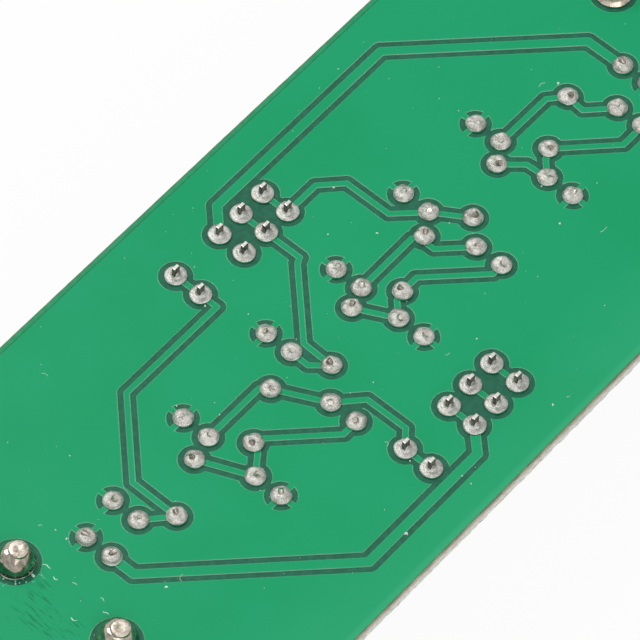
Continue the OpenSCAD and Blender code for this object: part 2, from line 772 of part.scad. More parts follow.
// One turn of wire round the core's section, as radius and axial place, from the first face inwards
turn_outline = [
    [wire_ro - wire_bend, -wire_x],
    [wire_ri + wire_bend, -wire_x],
    [wire_ri, wire_bend - wire_x],
    [wire_ri, wire_x - wire_bend],
    [wire_ri + wire_bend, wire_x],
    [wire_ro - wire_bend, wire_x],
    [wire_ro, wire_x - wire_bend],
    [wire_ro, wire_bend - wire_x]
];
turn_points = len(turn_outline);
section_middle = [(core_od + core_id) / 4, 0];
last_points = 6;

// A point at a radius and an axial place, turned round the core from the foot of the ring
function ring_point(place, angle) = [place[1], -place[0] * sin(angle), -place[0] * cos(angle)];
function unit(v) = v / norm(v);
function turn_angle(i, turns) =
    coil_gap_angle / 2 + i * (360 - coil_gap_angle) / (turn_points * (turns - 1) + last_points - 1);
function winding_points(turns, foot_a, foot_b) = let (
    count = turn_points * (turns - 1) + last_points,
    lift = [0, 0, coil_axis_z],
    deep = [0, 0, stack_t + lead_out]
) concat(
    [foot_a - deep, foot_a],
    [for (i = [0 : count - 1]) lift + ring_point(turn_outline[i % turn_points], turn_angle(i, turns))],
    [foot_b, foot_b - deep]
);
// Which way is outwards from the core at each point of the wire
function winding_outwards(turns) = let (count = turn_points * (turns - 1) + last_points) concat(
    [[-1, 0, 0], [-1, 0, 0]],
    [for (i = [0 : count - 1]) ring_point(turn_outline[i % turn_points] - section_middle, turn_angle(i, turns))],
    [[1, 0, 0], [1, 0, 0]]
);

// A wire of constant thickness along a path, with a hint of the outward side at each point
module wire(path, outwards) {
    last = len(path) - 1;
    rings = [
        for (i = [0 : last]) let (
            along = unit(path[min(i + 1, last)] - path[max(i - 1, 0)]),
            side = unit(outwards[i] - (outwards[i] * along) * along),
            across = cross(along, side)
        ) for (k = [0 : wire_sides - 1]) let (angle = 360 * k / wire_sides)
            path[i] + wire_d / 2 * (cos(angle) * side + sin(angle) * across)
    ];
    walls = [
        for (i = [0 : last - 1], k = [0 : wire_sides - 1]) let (
            a = i * wire_sides + k,
            b = i * wire_sides + (k + 1) % wire_sides
        ) each [[a, a + wire_sides, b + wire_sides], [a, b + wire_sides, b]]
    ];
    start_cap = [for (k = [0 : wire_sides - 1]) k];
    end_cap = [for (k = [wire_sides - 1 : -1 : 0]) last * wire_sides + k];
    polyhedron(rings, concat(walls, [start_cap, end_cap]));
}

module coil_winding(band, kind) {
    middle = coil_middle(band, kind);
    foot_a = coil_lead(band, kind, 0) - middle;
    foot_b = coil_lead(band, kind, 1) - middle;
    turns = coil_turns[band];
    color([0.6, 0.24, 0.1]) below_board(middle)
        wire(
            winding_points(turns, [foot_a.x, foot_a.y, 0], [foot_b.x, foot_b.y, 0]),
            winding_outwards(turns)
        );
}

// A dipped disc with a skirt of coating on each lead
module capacitor(band, kind) {
    profile = [
        for (i = [0 : cap_profile_steps]) let (angle = 90 * i / cap_profile_steps)
            [cap_d / 2 * pow(sin(angle), cap_power_share), cap_t / 2 * pow(cos(angle), cap_power_share)]
    ];
    color([0.76, 0.5, 0.2]) below_board(cap_middle(band, kind)) {
        translate([0, 0, cap_axis_z]) rotate([0, 90, 0]) rotate_extrude() polygon(
            concat(profile, [for (i = [cap_profile_steps - 1 : -1 : 0]) [profile[i].x, -profile[i].y]])
        );
        for (end = [-1, 1]) translate([0, end * at(cap_lead_share), cap_lift])
            cylinder(d1 = lead_d + seat, d2 = cap_skirt_d, h = cap_skirt_h + cap_d / 4);
    }
}

module capacitor_leads(band) {
    color([0.76, 0.75, 0.72]) for (kind = [0 : 3], end = [-1, 1]) below_board(cap_lead(band, kind, end)) {
        tip = lead_tip(2 * (4 * band + kind) + end);
        translate([0, 0, -stack_t - tip]) cylinder(d = lead_d, h = cap_lift + stack_t + tip);
    }
}

board();
solder_side_foil();
component_side_foil();
switch_solder();
lead_solder();
jack_solder();
for (side = [0, 1]) {
    jack_housing(side);
    jack_barrel(side);
    jack_insulator(side);
    jack_contact(side);
    jack_ground_pin(side);
    jack_posts(side);
    switch_base(side);
    switch_cover(side);
    switch_pins(side);
    switch_knob(side);
    switch_wipers(side);
}
for (band = bands) {
    for (kind = [0, 1]) {
        coil_core(band, kind);
        coil_winding(band, kind);
    }
    for (kind = [0 : 3]) capacitor(band, kind);
    capacitor_leads(band);
}
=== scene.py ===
"""Looks of a switched low pass filter board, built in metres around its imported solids."""

import json
import logging
import math
from dataclasses import dataclass
from enum import Enum, IntEnum
from typing import Any, Sequence

import bpy
import numpy as np
from mathutils import Matrix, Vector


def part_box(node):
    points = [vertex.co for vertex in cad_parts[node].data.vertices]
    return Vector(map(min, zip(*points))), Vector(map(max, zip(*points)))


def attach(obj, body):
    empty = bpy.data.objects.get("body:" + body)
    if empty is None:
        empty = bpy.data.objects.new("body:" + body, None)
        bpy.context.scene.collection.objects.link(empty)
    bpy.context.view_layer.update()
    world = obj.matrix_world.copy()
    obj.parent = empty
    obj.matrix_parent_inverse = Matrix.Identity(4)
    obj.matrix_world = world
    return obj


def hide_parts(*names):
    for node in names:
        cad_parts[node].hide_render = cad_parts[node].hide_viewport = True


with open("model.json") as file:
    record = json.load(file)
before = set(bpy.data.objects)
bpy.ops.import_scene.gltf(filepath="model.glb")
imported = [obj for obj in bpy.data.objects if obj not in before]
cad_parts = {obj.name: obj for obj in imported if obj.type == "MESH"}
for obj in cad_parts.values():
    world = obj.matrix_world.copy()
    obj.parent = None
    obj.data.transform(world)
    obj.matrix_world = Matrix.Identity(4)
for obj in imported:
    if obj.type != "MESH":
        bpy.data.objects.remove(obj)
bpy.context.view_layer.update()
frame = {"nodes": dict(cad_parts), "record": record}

log = logging.getLogger("filter_board")

Array = np.ndarray
Shade = tuple[int, int, int]
Colour = tuple[float, float, float, float]
Pair = tuple[float, float]
Range = tuple[float, float]
Profile = tuple[Pair, ...]
Stretch = tuple[float, float, float]

MM = 0.001
WELD_GRID = 1e-7
FULL_TURN = 2 * math.pi
ALONG_X = np.array([1.0, 0.0, 0.0])
UP = np.array([0.0, 0.0, 1.0])
NO_QUADS = np.empty((0, 4), int)
NO_TRIANGLES = np.empty((0, 3), int)
WHITE: Colour = (1.0, 1.0, 1.0, 1.0)
EVEN: Stretch = (1.0, 1.0, 1.0)

# Values of noise between which a cloud rises from 0 to 1
SOFT_CLOUD: Range = (0.35, 0.65)
CRISP_CLOUD: Range = (0.36, 0.64)

# Rounding of CAD edges: faces across it, least angle in degrees, and weld distance as a share of its width
ROUNDING_FACES = 3
ROUNDED_ANGLE = 50
ROUNDING_WELD_SHARE = 0.05

# Middle of the flux strokes from the middle of the left posts, along X and Y in millimetres
FLUX_OFFSET = np.array([-1.5, -0.4])


class Body(Enum):
    """Bodies of the frame that the pieces ride on."""

    BOARD = "filter_board"


class Slot(Enum):
    """Material slots of the record."""

    LAMINATE = "laminate"
    SOLDER_MASK = "solder_mask"
    SOLDER = "solder"
    TINNED_WIRE = "tinned_wire"
    CORE_RED = "core_red"
    CORE_YELLOW = "core_yellow"
    ENAMELLED_COPPER = "enamelled_copper"
    DIPPED_CERAMIC = "dipped_ceramic"


class Side(Enum):
    """Sides of the board, as the way that each one faces along Z."""

    SOLDER = 1
    COMPONENT = -1


class BoardFace(IntEnum):
    """Finish numbers of the laminate's faces."""

    MASKED = 0
    BROKEN = 1


class RimFace(IntEnum):
    """Finish numbers of the faces of a rim of mask."""

    CREST = 0
    PLAIN = 1
    WALL = 2


class WireFace(IntEnum):
    """Finish numbers of the faces of a coil's wire."""

    ENAMELLED = 0
    BARE = 1


class Fillet(IntEnum):
    """Forms of the solder round a jack post, as the finish numbers of its faces."""

    BULLET = 0
    HOLLOW = 1


def display(shade: Shade) -> Colour:
    """Turns a display colour into linear light with the sRGB curve.

    Args:
        shade: Red, green and blue from 0 to 255.

    Returns:
        The linear colour, with full alpha.
    """
    share = np.array(shade) / 255
    low = share / 12.92
    high = ((share + 0.055) / 1.055) ** 2.4
    return (*np.where(share <= 0.04045, low, high).tolist(), 1.0)


class Socket:
    """A shader value that takes part in Python arithmetic, where each operation adds one Math node."""

    def __init__(self, nodes: "Nodes", link: bpy.types.NodeSocket) -> None:
        """Wraps one output socket of a node tree."""
        self.nodes = nodes
        self.link = link

    def _math(self, operation: str, first: "Socket | float", second: "Socket | float") -> "Socket":
        """Adds a Math node of two values."""
        return self.nodes.node("ShaderNodeMath", {"operation": operation}, {0: first, 1: second})

    def __add__(self, other: "Socket | float") -> "Socket":
        """Adds a value."""
        return self._math("ADD", self, other)

    def __radd__(self, other: float) -> "Socket":
        """Adds this value to a number."""
        return self._math("ADD", other, self)

    def __sub__(self, other: "Socket | float") -> "Socket":
        """Takes a value away."""
        return self._math("SUBTRACT", self, other)

    def __rsub__(self, other: float) -> "Socket":
        """Takes this value away from a number."""
        return self._math("SUBTRACT", other, self)

    def __mul__(self, other: "Socket | float") -> "Socket":
        """Multiplies by a value."""
        return self._math("MULTIPLY", self, other)

    def __rmul__(self, other: float) -> "Socket":
        """Multiplies a number by this value."""
        return self._math("MULTIPLY", other, self)

    def __abs__(self) -> "Socket":
        """Takes the sign away."""
        return self.high(-1.0 * self)

    def high(self, other: "Socket | float") -> "Socket":
        """Takes the larger of two values."""
        return self._math("MAXIMUM", self, other)

    def step(self, start: float, end: float) -> "Socket":
        """Rises smoothly from 0 to 1 between two values, of which either may be the larger.

        Args:
            start: Value that gives 0.
            end: Value that gives 1.

        Returns:
            The smooth step.
        """
        settings = {"interpolation_type": "SMOOTHSTEP"}
        ends = {"From Min": min(start, end), "From Max": max(start, end)}
        rise = {"To Min": float(start > end), "To Max": float(start < end)}
        return self.nodes.node("ShaderNodeMapRange", settings, {"Value": self, **ends, **rise})


class Nodes:
    """A node tree that is filled by code."""

    def __init__(self, tree: bpy.types.NodeTree) -> None:
        """Takes a tree over and empties it."""
        self.tree = tree
        tree.nodes.clear()

    def add(
        self, kind: str, settings: dict[str, Any] | None = None, inputs: dict[Any, Any] | None = None
    ) -> bpy.types.Node:
        """Adds one node.

        Args:
            kind: Type of the node.
            settings: Its properties, set first.
            inputs: Values or links of its sockets, by name or number.

        Returns:
            The node.
        """
        made = self.tree.nodes.new(kind)
        for key, value in (settings or {}).items():
            setattr(made, key, value)
        for key, value in (inputs or {}).items():
            if isinstance(value, Socket):
                self.tree.links.new(value.link, made.inputs[key])
            else:
                made.inputs[key].default_value = value
        return made

    def node(
        self,
        kind: str,
        settings: dict[str, Any] | None = None,
        inputs: dict[Any, Any] | None = None,
        output: Any = 0,
    ) -> Socket:
        """Adds one node and gives back the output socket of that name or number."""
        return Socket(self, self.add(kind, settings, inputs).outputs[output])

    def seen_rays(self) -> Socket:
        """Tells the rays that see the background apart from those that light the object.

        Returns:
            1 for rays from the camera, from mirrors and through glass, and 0 for others.
        """
        kinds = ("Is Camera Ray", "Is Glossy Ray", "Is Transmission Ray")
        camera, mirror, glass = (self.node("ShaderNodeLightPath", output=kind) for kind in kinds)
        return camera.high(mirror).high(glass)


class Paint(Nodes):
    """One procedural material, with its pattern lengths in millimetres."""

    def __init__(self, name: str) -> None:
        """Starts an empty material.

        Args:
            name: Name of the material.
        """
        self.material = bpy.data.materials.new(name)
        self.material.use_nodes = True
        super().__init__(self.material.node_tree)
        self._place: Socket | None = None

    def place(self) -> Socket:
        """Gives the place on the object, from one pair of nodes that all patterns share.

        Returns:
            The place in millimetres.
        """
        if self._place is None:
            metres = self.node("ShaderNodeTexCoord", output="Object")
            scale = {0: metres, "Scale": 1 / MM}
            self._place = self.node("ShaderNodeVectorMath", {"operation": "SCALE"}, scale)
        return self._place

    def along(self, axis: str) -> Socket:
        """Gives the place along X, Y or Z in millimetres."""
        return self.node("ShaderNodeSeparateXYZ", inputs={0: self.place()}, output=axis)

    def noise(
        self, size: float, detail: float = 2.0, roughness: float = 0.5, stretch: Stretch = EVEN
    ) -> Socket:
        """Adds cloudy noise.

        Args:
            size: Width of a cloud in millimetres.
            detail: Octaves of finer noise.
            roughness: Strength of the finer octaves.
            stretch: How much longer a cloud is along X, Y and Z.

        Returns:
            A value round 0.5.
        """
        shrink = tuple(1 / length for length in stretch)
        where = self.node("ShaderNodeVectorMath", {"operation": "MULTIPLY"}, {0: self.place(), 1: shrink})
        inputs = {"Vector": where, "Scale": 1 / size, "Detail": detail, "Roughness": roughness}
        return self.node("ShaderNodeTexNoise", inputs=inputs)

    def mix(self, factor: Socket, first: "Socket | Shade", second: "Socket | Shade") -> Socket:
        """Mixes two colours, each of which is a socket or a display colour.

        Args:
            factor: Share of the second colour.
            first: Colour at 0.
            second: Colour at 1.

        Returns:
            The mixed colour.
        """
        start, end = (part if isinstance(part, Socket) else display(part) for part in (first, second))
        return self.node("ShaderNodeMix", {"data_type": "RGBA"}, {0: factor, 6: start, 7: end}, output=2)

    def bump(self, height: Socket, depth: float) -> Socket:
        """Turns a height from 0 to 1 into a normal.

        Args:
            height: The height.
            depth: Height of 1 in millimetres.

        Returns:
            The bumped normal.
        """
        inputs = {"Strength": 1.0, "Distance": depth * MM, "Height": height}
        return self.node("ShaderNodeBump", inputs=inputs)

    def surface(self, **inputs: Any) -> bpy.types.Material:
        """Ends the material in a Principled shader, whose sockets are named with _ for a space."""
        named = {key.replace("_", " "): value for key, value in inputs.items()}
        return self.show(self.node("ShaderNodeBsdfPrincipled", inputs=named))

    def show(self, shader: Socket) -> bpy.types.Material:
        """Links a shader to the material's output and gives back the material."""
        self.add("ShaderNodeOutputMaterial", inputs={"Surface": shader})
        return self.material


@dataclass(frozen=True)
class Finish:
    """A finish that is made into a material at its first use and then shared.

    Attributes:
        name: Name of the material.
    """

    name: str

    def material(self) -> bpy.types.Material:
        """Gives the finish's material."""
        return bpy.data.materials.get(self.name) or self.make(Paint(self.name))

    def make(self, paint: Paint) -> bpy.types.Material:
        """Writes the finish into a paint and gives back its material."""
        raise NotImplementedError


@dataclass(frozen=True)
class MaskFinish(Finish):
    """Solder mask: clouded colour under a satin film with a faint orange peel.

    Attributes:
        colour: Main colour.
        cloud: Colour of the slow clouds.
        roughness: Mean roughness.
        peel: Depth of the orange peel in millimetres.
        shine: Level of the film's mirror reflection.
        cloud_size: Width of a cloud in millimetres.
        grain_size: Width of the grain in the film's roughness, in millimetres.
        peel_size: Width of a dimple of the orange peel in millimetres.
        unevenness: How far the roughness swings with the grain.
    """

    colour: Shade
    cloud: Shade
    roughness: float = 0.34
    peel: float = 0.004
    shine: float = 0.15
    cloud_size: float = 11.0
    grain_size: float = 0.3
    peel_size: float = 0.8
    unevenness: float = 0.2

    def stain_and_paint_light(self, paint: Paint, base: Socket) -> Socket:
        """Gives the base colour with stains and painted light on it, here none."""
        return base

    def make(self, paint: Paint) -> bpy.types.Material:
        """Writes the finish into a paint.

        Args:
            paint: The empty paint.

        Returns:
            The finished material.
        """
        clouds = paint.noise(self.cloud_size, detail=3.0).step(*CRISP_CLOUD)
        grain = paint.noise(self.grain_size, detail=3.0)
        base = self.stain_and_paint_light(paint, paint.mix(clouds, self.colour, self.cloud))
        rough = self.roughness + self.unevenness * (grain - 0.5)
        normal = paint.bump(paint.noise(self.peel_size), self.peel)
        return paint.surface(Base_Color=base, Roughness=rough, Normal=normal, Specular_IOR_Level=self.shine)


@dataclass(frozen=True)
class FluxMaskPaintedLightFinish(MaskFinish):
    """Solder mask with painted light that makes it paler towards the front edge, and dark strokes of flux in
    one patch.

    Attributes:
        front: Place of the front edge along Y in millimetres.
        patch: Middle of the flux along X and Y in millimetres.
        reach: Half the patch's length along X and Y in millimetres.
        core: Share of the patch's half length over which the strokes are full.
        pale: Colour of the painted light at the front edge.
        pale_width: Width of the painted light at the front edge in millimetres.
        fade: Width of the weaker painted light behind it in millimetres.
        fade_share: Strength of the weaker painted light.
        dark: Colour of the strokes.
        strength: Share of the strokes' colour.
        density: Strokes in a millimetre across their run.
        slant: How far a stroke leans along X for each millimetre along Y.
        squeeze: Width of a stroke as a share of its length.
        smear_size: Width of a smear, inside which the strokes show, in millimetres.
    """

    front: float = 0.0
    patch: Pair = (0.0, 0.0)
    reach: Pair = (3.2, 4.5)
    core: float = 0.45
    pale: Shade = (54, 172, 122)
    pale_width: float = 1.05
    fade: float = 8.0
    fade_share: float = 0.3
    dark: Shade = (2, 122, 74)
    strength: float = 0.75
    density: float = 5.2
    slant: float = 0.03
    squeeze: float = 0.13
    smear_size: float = 2.4

    def inside(self, paint: Paint, axis: int) -> Socket:
        """Falls from 1 to 0 towards the patch's end along X or Y."""
        apart = paint.along("XY"[axis]) - self.patch[axis]
        return abs(apart).step(self.reach[axis], self.core * self.reach[axis])

    def stain_and_paint_light(self, paint: Paint, base: Socket) -> Socket:
        """Paints light onto the colour at the front edge and lays the strokes: noise stretched along a
        slanted Y.

        Args:
            paint: The paint.
            base: The plain colour.

        Returns:
            The stained colour.
        """
        x, y = paint.along("X"), paint.along("Y")
        # Painted light: the mask turns paler towards the front edge, fully within pale_width and weakly over
        # fade
        inset = y - self.front
        edge = inset.step(self.pale_width, 0.0).high(self.fade_share * inset.step(self.fade, 0.0))
        base = paint.mix(edge, base, self.pale)
        slanted = paint.node("ShaderNodeCombineXYZ", inputs={0: x - self.slant * y, 1: self.squeeze * y})
        inputs = {"Vector": slanted, "Scale": self.density, "Detail": 2.0}
        strokes = paint.node("ShaderNodeTexNoise", inputs=inputs).step(0.53, 0.64)
        smears = paint.noise(self.smear_size).step(0.44, 0.58)
        shown = strokes * smears * self.inside(paint, 0) * self.inside(paint, 1)
        return paint.mix(self.strength * shown, base, self.dark)


@dataclass(frozen=True)
class BareFinish(Finish):
    """Mask on bare laminate: dark in the channels, painted shade by the foil's step, paler along the board's
    edge, brown at the very edge.

    Attributes:
        half: Half the board's length and width in millimetres.
        stripe: Width of the stripe in millimetres.
        line: Where the painted shade beside the foil's step starts and ends turning into the stripe, in
            millimetres.
        brown: Where the brown starts and is full, in millimetres from the edge.
        channel: Colours of the channels.
        rim: Colours of the stripe.
        outline: Colour at the edge.
        weave_size: Width of a cloud of the weave in millimetres.
        peel_size: Width of a dimple of the mask in millimetres.
        peel: Depth of a dimple in millimetres.
    """

    half: Pair
    stripe: float = 0.5
    line: Range = (0.05, 0.13)
    brown: Range = (0.1, 0.03)
    channel: tuple[Shade, Shade] = ((22, 94, 70), (32, 105, 80))
    rim: tuple[Shade, Shade] = ((30, 142, 92), (36, 152, 102))
    outline: Shade = (104, 104, 68)
    weave_size: float = 0.5
    peel_size: float = 0.6
    peel: float = 0.004

    def make(self, paint: Paint) -> bpy.types.Material:
        """Writes the finish into a paint.

        Args:
            paint: The empty paint.

        Returns:
            The finished material.
        """
        x, y = abs(paint.along("X")), abs(paint.along("Y"))
        edge = (x - self.half[0]).high(y - self.half[1]) + self.stripe
        weave = paint.noise(self.weave_size, detail=3.0).step(*SOFT_CLOUD)
        # Painted shade: the channels' dark colour runs a little past the foil's step before the stripe's
        # colour
        base = paint.mix(edge.step(*self.line), paint.mix(weave, *self.channel), paint.mix(weave, *self.rim))
        start, full = (self.stripe - inset for inset in self.brown)
        base = paint.mix(edge.step(start, full), base, self.outline)
        normal = paint.bump(paint.noise(self.peel_size), self.peel)
        return paint.surface(Base_Color=base, Roughness=0.4, Normal=normal, Specular_IOR_Level=0.22)


@dataclass(frozen=True)
class FibreFinish(Finish):
    """Broken edge of the laminate: pale glass plies with brown resin under the mask.

    Attributes:
        top: Height of the laminate's solder side in millimetres.
        resin_depth: Depth at which the resin has turned into clean glass, in millimetres.
        waviness: Height of the waves in that border in millimetres.
        wave_size: Width of a wave in millimetres.
        ply_size: Thickness of a ply in millimetres.
        ply_stretch: How much longer than thick a fibre of a ply is.
        ply_depth: Depth between plies in millimetres.
        glass: Colours of the glass.
        resin: Colours of the resin.
        resin_size: Width of a cloud of resin in millimetres.
    """

    top: float
    resin_depth: float = 1.15
    waviness: float = 0.3
    wave_size: float = 0.9
    ply_size: float = 0.1
    ply_stretch: float = 5.0
    ply_depth: float = 0.014
    glass: tuple[Shade, Shade] = ((198, 196, 182), (238, 237, 229))
    resin: tuple[Shade, Shade] = ((112, 100, 68), (150, 142, 108))
    resin_size: float = 1.4

    def make(self, paint: Paint) -> bpy.types.Material:
        """Writes the finish into a paint.

        Args:
            paint: The empty paint.

        Returns:
            The finished material.
        """
        depth = self.top - paint.along("Z") + self.waviness * (paint.noise(self.wave_size) - 0.5)
        stretch = (self.ply_stretch, self.ply_stretch, 1.0)
        plies = paint.noise(self.ply_size, detail=3.0, roughness=0.6, stretch=stretch)
        glass = paint.mix(plies.step(0.36, 0.62), *self.glass)
        resin = paint.mix(paint.noise(self.resin_size).step(*SOFT_CLOUD), *self.resin)
        base = paint.mix(depth.step(0.0, self.resin_depth), resin, glass)
        return paint.surface(Base_Color=base, Roughness=0.62, Normal=paint.bump(plies, self.ply_depth))


@dataclass(frozen=True)
class MetalFinish(Finish):
    """Bare metal: bright grains in a darker film, with a bumped skin.

    Attributes:
        colour: Colour of the bright grains.
        film: Colour of the dull film between them.
        roughness: Mean roughness.
        grain: Width of a grain in millimetres.
        depth: Height of the grains in millimetres.
        stretch: How much longer a grain is along X, Y and Z.
        patch: Width of a dull patch in grains.
        unevenness: How far the roughness swings from patch to patch.
    """

    colour: Shade
    film: Shade
    roughness: float
    grain: float
    depth: float
    stretch: Stretch = EVEN
    patch: float = 6.0
    unevenness: float = 0.35

    def make(self, paint: Paint) -> bpy.types.Material:
        """Writes the finish into a paint.

        Args:
            paint: The empty paint.

        Returns:
            The finished material.
        """
        grain = paint.noise(self.grain, detail=3.0, roughness=0.6, stretch=self.stretch)
        patch = paint.noise(self.grain * self.patch)
        base = paint.mix((0.6 * grain + 0.4 * patch).step(0.36, 0.58), self.film, self.colour)
        rough = self.roughness + self.unevenness * (patch - 0.5)
        normal = paint.bump(grain, self.depth)
        return paint.surface(Base_Color=base, Metallic=1.0, Roughness=rough, Normal=normal)


@dataclass(frozen=True)
class BladeFinish(Finish):
    """Switch pins: tinned blades darkened as a painted dark reflection, with a bright band at the top: the
    cut end with a painted highlight.

    Attributes:
        top: Height of the cut in millimetres.
        cut_and_highlight_band: Where the bright band of the cut end and its painted highlight starts and is
            full, in millimetres from the top.
        dull: Colours of the blade, darkened to paint the dark reflection on its sides.
        bright: Colour of the cut end with its painted highlight.
        grain: Width of a drawing mark in millimetres.
        grain_stretch: How much longer than wide a mark is.
        depth: Depth of the marks in millimetres.
    """

    top: float
    cut_and_highlight_band: Range = (-0.08, -0.03)
    dull: tuple[Shade, Shade] = ((84, 80, 76), (138, 133, 127))
    bright: Shade = (196, 194, 188)
    grain: float = 0.2
    grain_stretch: float = 5.0
    depth: float = 0.008

    def make(self, paint: Paint) -> bpy.types.Material:
        """Writes the finish into a paint.

        Args:
            paint: The empty paint.

        Returns:
            The finished material.
        """
        # Painted light: a bright band just under the top is the cut end's painted highlight, over blade
        # colours darkened as a painted dark reflection
        cut = (paint.along("Z") - self.top).step(*self.cut_and_highlight_band)
        grain = paint.noise(self.grain, detail=3.0, stretch=(1.0, 1.0, self.grain_stretch))
        base = paint.mix(cut, paint.mix(grain.step(*CRISP_CLOUD), *self.dull), self.bright)
        normal = paint.bump(grain, self.depth)
        return paint.surface(Base_Color=base, Metallic=1.0, Roughness=0.3, Normal=normal)


@dataclass(frozen=True)
class CoatFinish(Finish):
    """Paint, plastic or resin: a clouded colour with a grained skin.

    Attributes:
        colour: Main colour.
        cloud: Colour of the clouds.
        roughness: Mean roughness.
        grain: Width of the skin's grain in millimetres.
        depth: Depth of the grain in millimetres.
        coat: Weight of a clear coat.
        cloud_size: Width of a cloud in grains.
        unevenness: How far the roughness swings with the grain.
    """

    colour: Shade
    cloud: Shade
    roughness: float
    grain: float
    depth: float
    coat: float = 0.0
    cloud_size: float = 9.0
    unevenness: float = 0.25

    def make(self, paint: Paint) -> bpy.types.Material:
        """Writes the finish into a paint.

        Args:
            paint: The empty paint.

        Returns:
            The finished material.
        """
        grain = paint.noise(self.grain, detail=3.0)
        clouds = paint.noise(self.grain * self.cloud_size, detail=3.0).step(*SOFT_CLOUD)
        base = paint.mix(clouds, self.colour, self.cloud)
        rough = self.roughness + self.unevenness * (grain - 0.5)
        normal = paint.bump(grain, self.depth)
        return paint.surface(Base_Color=base, Roughness=rough, Normal=normal, Coat_Weight=self.coat)


@dataclass(frozen=True)
class FloorFinish(Finish):
    """Pale studio floor that cameras and mirrors see as white, shadow kept, and that is clear from below.

    Attributes:
        glow: Share of plain white over the lit floor.
        colour: Colour of the lit floor.
    """

    glow: float = 0.94
    colour: Colour = (0.9, 0.9, 0.9, 1.0)

    def make(self, paint: Paint) -> bpy.types.Material:
        """Writes the finish into a paint.

        Args:
            paint: The empty paint.

        Returns:
            The finished material.
        """
        share = self.glow * paint.seen_rays()
        lit = paint.node("ShaderNodeBsdfDiffuse", inputs={"Color": self.colour})
        plain = paint.node("ShaderNodeEmission", inputs={"Color": WHITE, "Strength": 1.0})
        above = paint.node("ShaderNodeMixShader", inputs={0: share, 1: lit, 2: plain})
        below = paint.node("ShaderNodeBsdfTransparent")
        under = paint.node("ShaderNodeNewGeometry", output="Backfacing")
        return paint.show(paint.node("ShaderNodeMixShader", inputs={0: under, 1: above, 2: below}))


MASK_SHADES: tuple[Shade, Shade] = ((22, 160, 107), (17, 157, 102))
SATIN_MASK = MaskFinish("satin_mask_on_copper", *MASK_SHADES)
RIM_MASK = MaskFinish(
    "thin_mask_on_copper_edge", (34, 163, 111), (28, 160, 106), roughness=0.26, peel=0.002, shine=0.32
)
# Wall of a rim: thinner mask over the copper edge, made pale with a painted highlight along the edge
WALL_MASK_AND_HIGHLIGHT = MaskFinish(
    "thin_mask_and_painted_highlight_on_copper_wall", (166, 207, 184), (138, 195, 166), roughness=0.3, peel=0.002, shine=0.5
)
FROSTY_SOLDER = MetalFinish(
    "frosty_solder", (184, 184, 178), (133, 132, 125), roughness=0.5, grain=0.09, depth=0.024
)
DISC_SOLDER = MetalFinish(
    "flowed_solder", (176, 177, 171), (131, 131, 124), roughness=0.46, grain=0.09, depth=0.018
)
BRIGHT_SOLDER = MetalFinish(
    "bright_solder", (178, 170, 158), (130, 122, 110), roughness=0.1, grain=0.34, depth=0.003
)
PALE_SOLDER = MetalFinish(
    "pale_solder", (186, 177, 163), (134, 125, 111), roughness=0.24, grain=0.34, depth=0.005
)
POST_TIN = MetalFinish(
    "tinned_post", (180, 173, 161), (126, 115, 101), roughness=0.36, grain=0.26, depth=0.004
)
TINNED = MetalFinish(
    "tinned_copper", (204, 200, 192), (160, 152, 140), roughness=0.26, grain=0.2, depth=0.006
)
COPPER_TIP = MetalFinish(
    "cut_copper_wire", (172, 161, 152), (104, 93, 85), roughness=0.3, grain=0.12, depth=0.02
)
NICKEL = MetalFinish(
    "nickel_plate", (198, 194, 186), (188, 183, 174), roughness=0.2, grain=0.16, depth=0.001
)
SHEET = MetalFinish(
    "tinned_sheet",
    (190, 188, 184),
    (174, 171, 166),
    roughness=0.32,
    grain=0.1,
    depth=0.002,
    stretch=(14.0, 1.0, 1.0),
)
BRASS = MetalFinish("plated_brass", (214, 178, 98), (190, 150, 80), roughness=0.22, grain=0.5, depth=0.003)
JACK_PLASTIC = CoatFinish(
    "black_moulding", (30, 30, 32), (38, 38, 40), roughness=0.48, grain=0.12, depth=0.01
)
KNOB_PLASTIC = CoatFinish(
    "black_knob_moulding", (22, 22, 23), (30, 30, 31), roughness=0.36, grain=0.16, depth=0.006
)
BASE_PLASTIC = CoatFinish(
    "brown_laminated_base", (66, 44, 30), (84, 58, 38), roughness=0.5, grain=0.2, depth=0.012
)
WHITE_PLASTIC = CoatFinish(
    "white_insulator", (226, 224, 214), (216, 213, 202), roughness=0.42, grain=0.2, depth=0.006
)
RED_COAT = CoatFinish(
    "red_core_coating", (176, 44, 34), (158, 36, 28), roughness=0.4, grain=0.22, depth=0.02, coat=0.3
)
YELLOW_COAT = CoatFinish(
    "yellow_core_coating", (222, 190, 54), (206, 172, 40), roughness=0.4, grain=0.22, depth=0.02, coat=0.3
)
ENAMEL = CoatFinish(
    "enamelled_wire", (186, 88, 38), (160, 68, 28), roughness=0.24, grain=0.3, depth=0.004, coat=0.8
)
DIPPED = CoatFinish(
    "dipped_coating", (198, 138, 62), (184, 120, 48), roughness=0.34, grain=0.4, depth=0.02, coat=0.4
)
# Flux residue whose near-white colour is partly a painted glint
FLUX_AND_GLINT = CoatFinish(
    "pale_flux_with_painted_glint", (96, 196, 152), (186, 228, 206), roughness=0.2, grain=0.1, depth=0.01, coat=0.6
)
DUST = CoatFinish("pale_dust", (214, 232, 218), (236, 242, 236), roughness=0.6, grain=0.05, depth=0.01)
FLOOR = FloorFinish("pale_studio_floor")


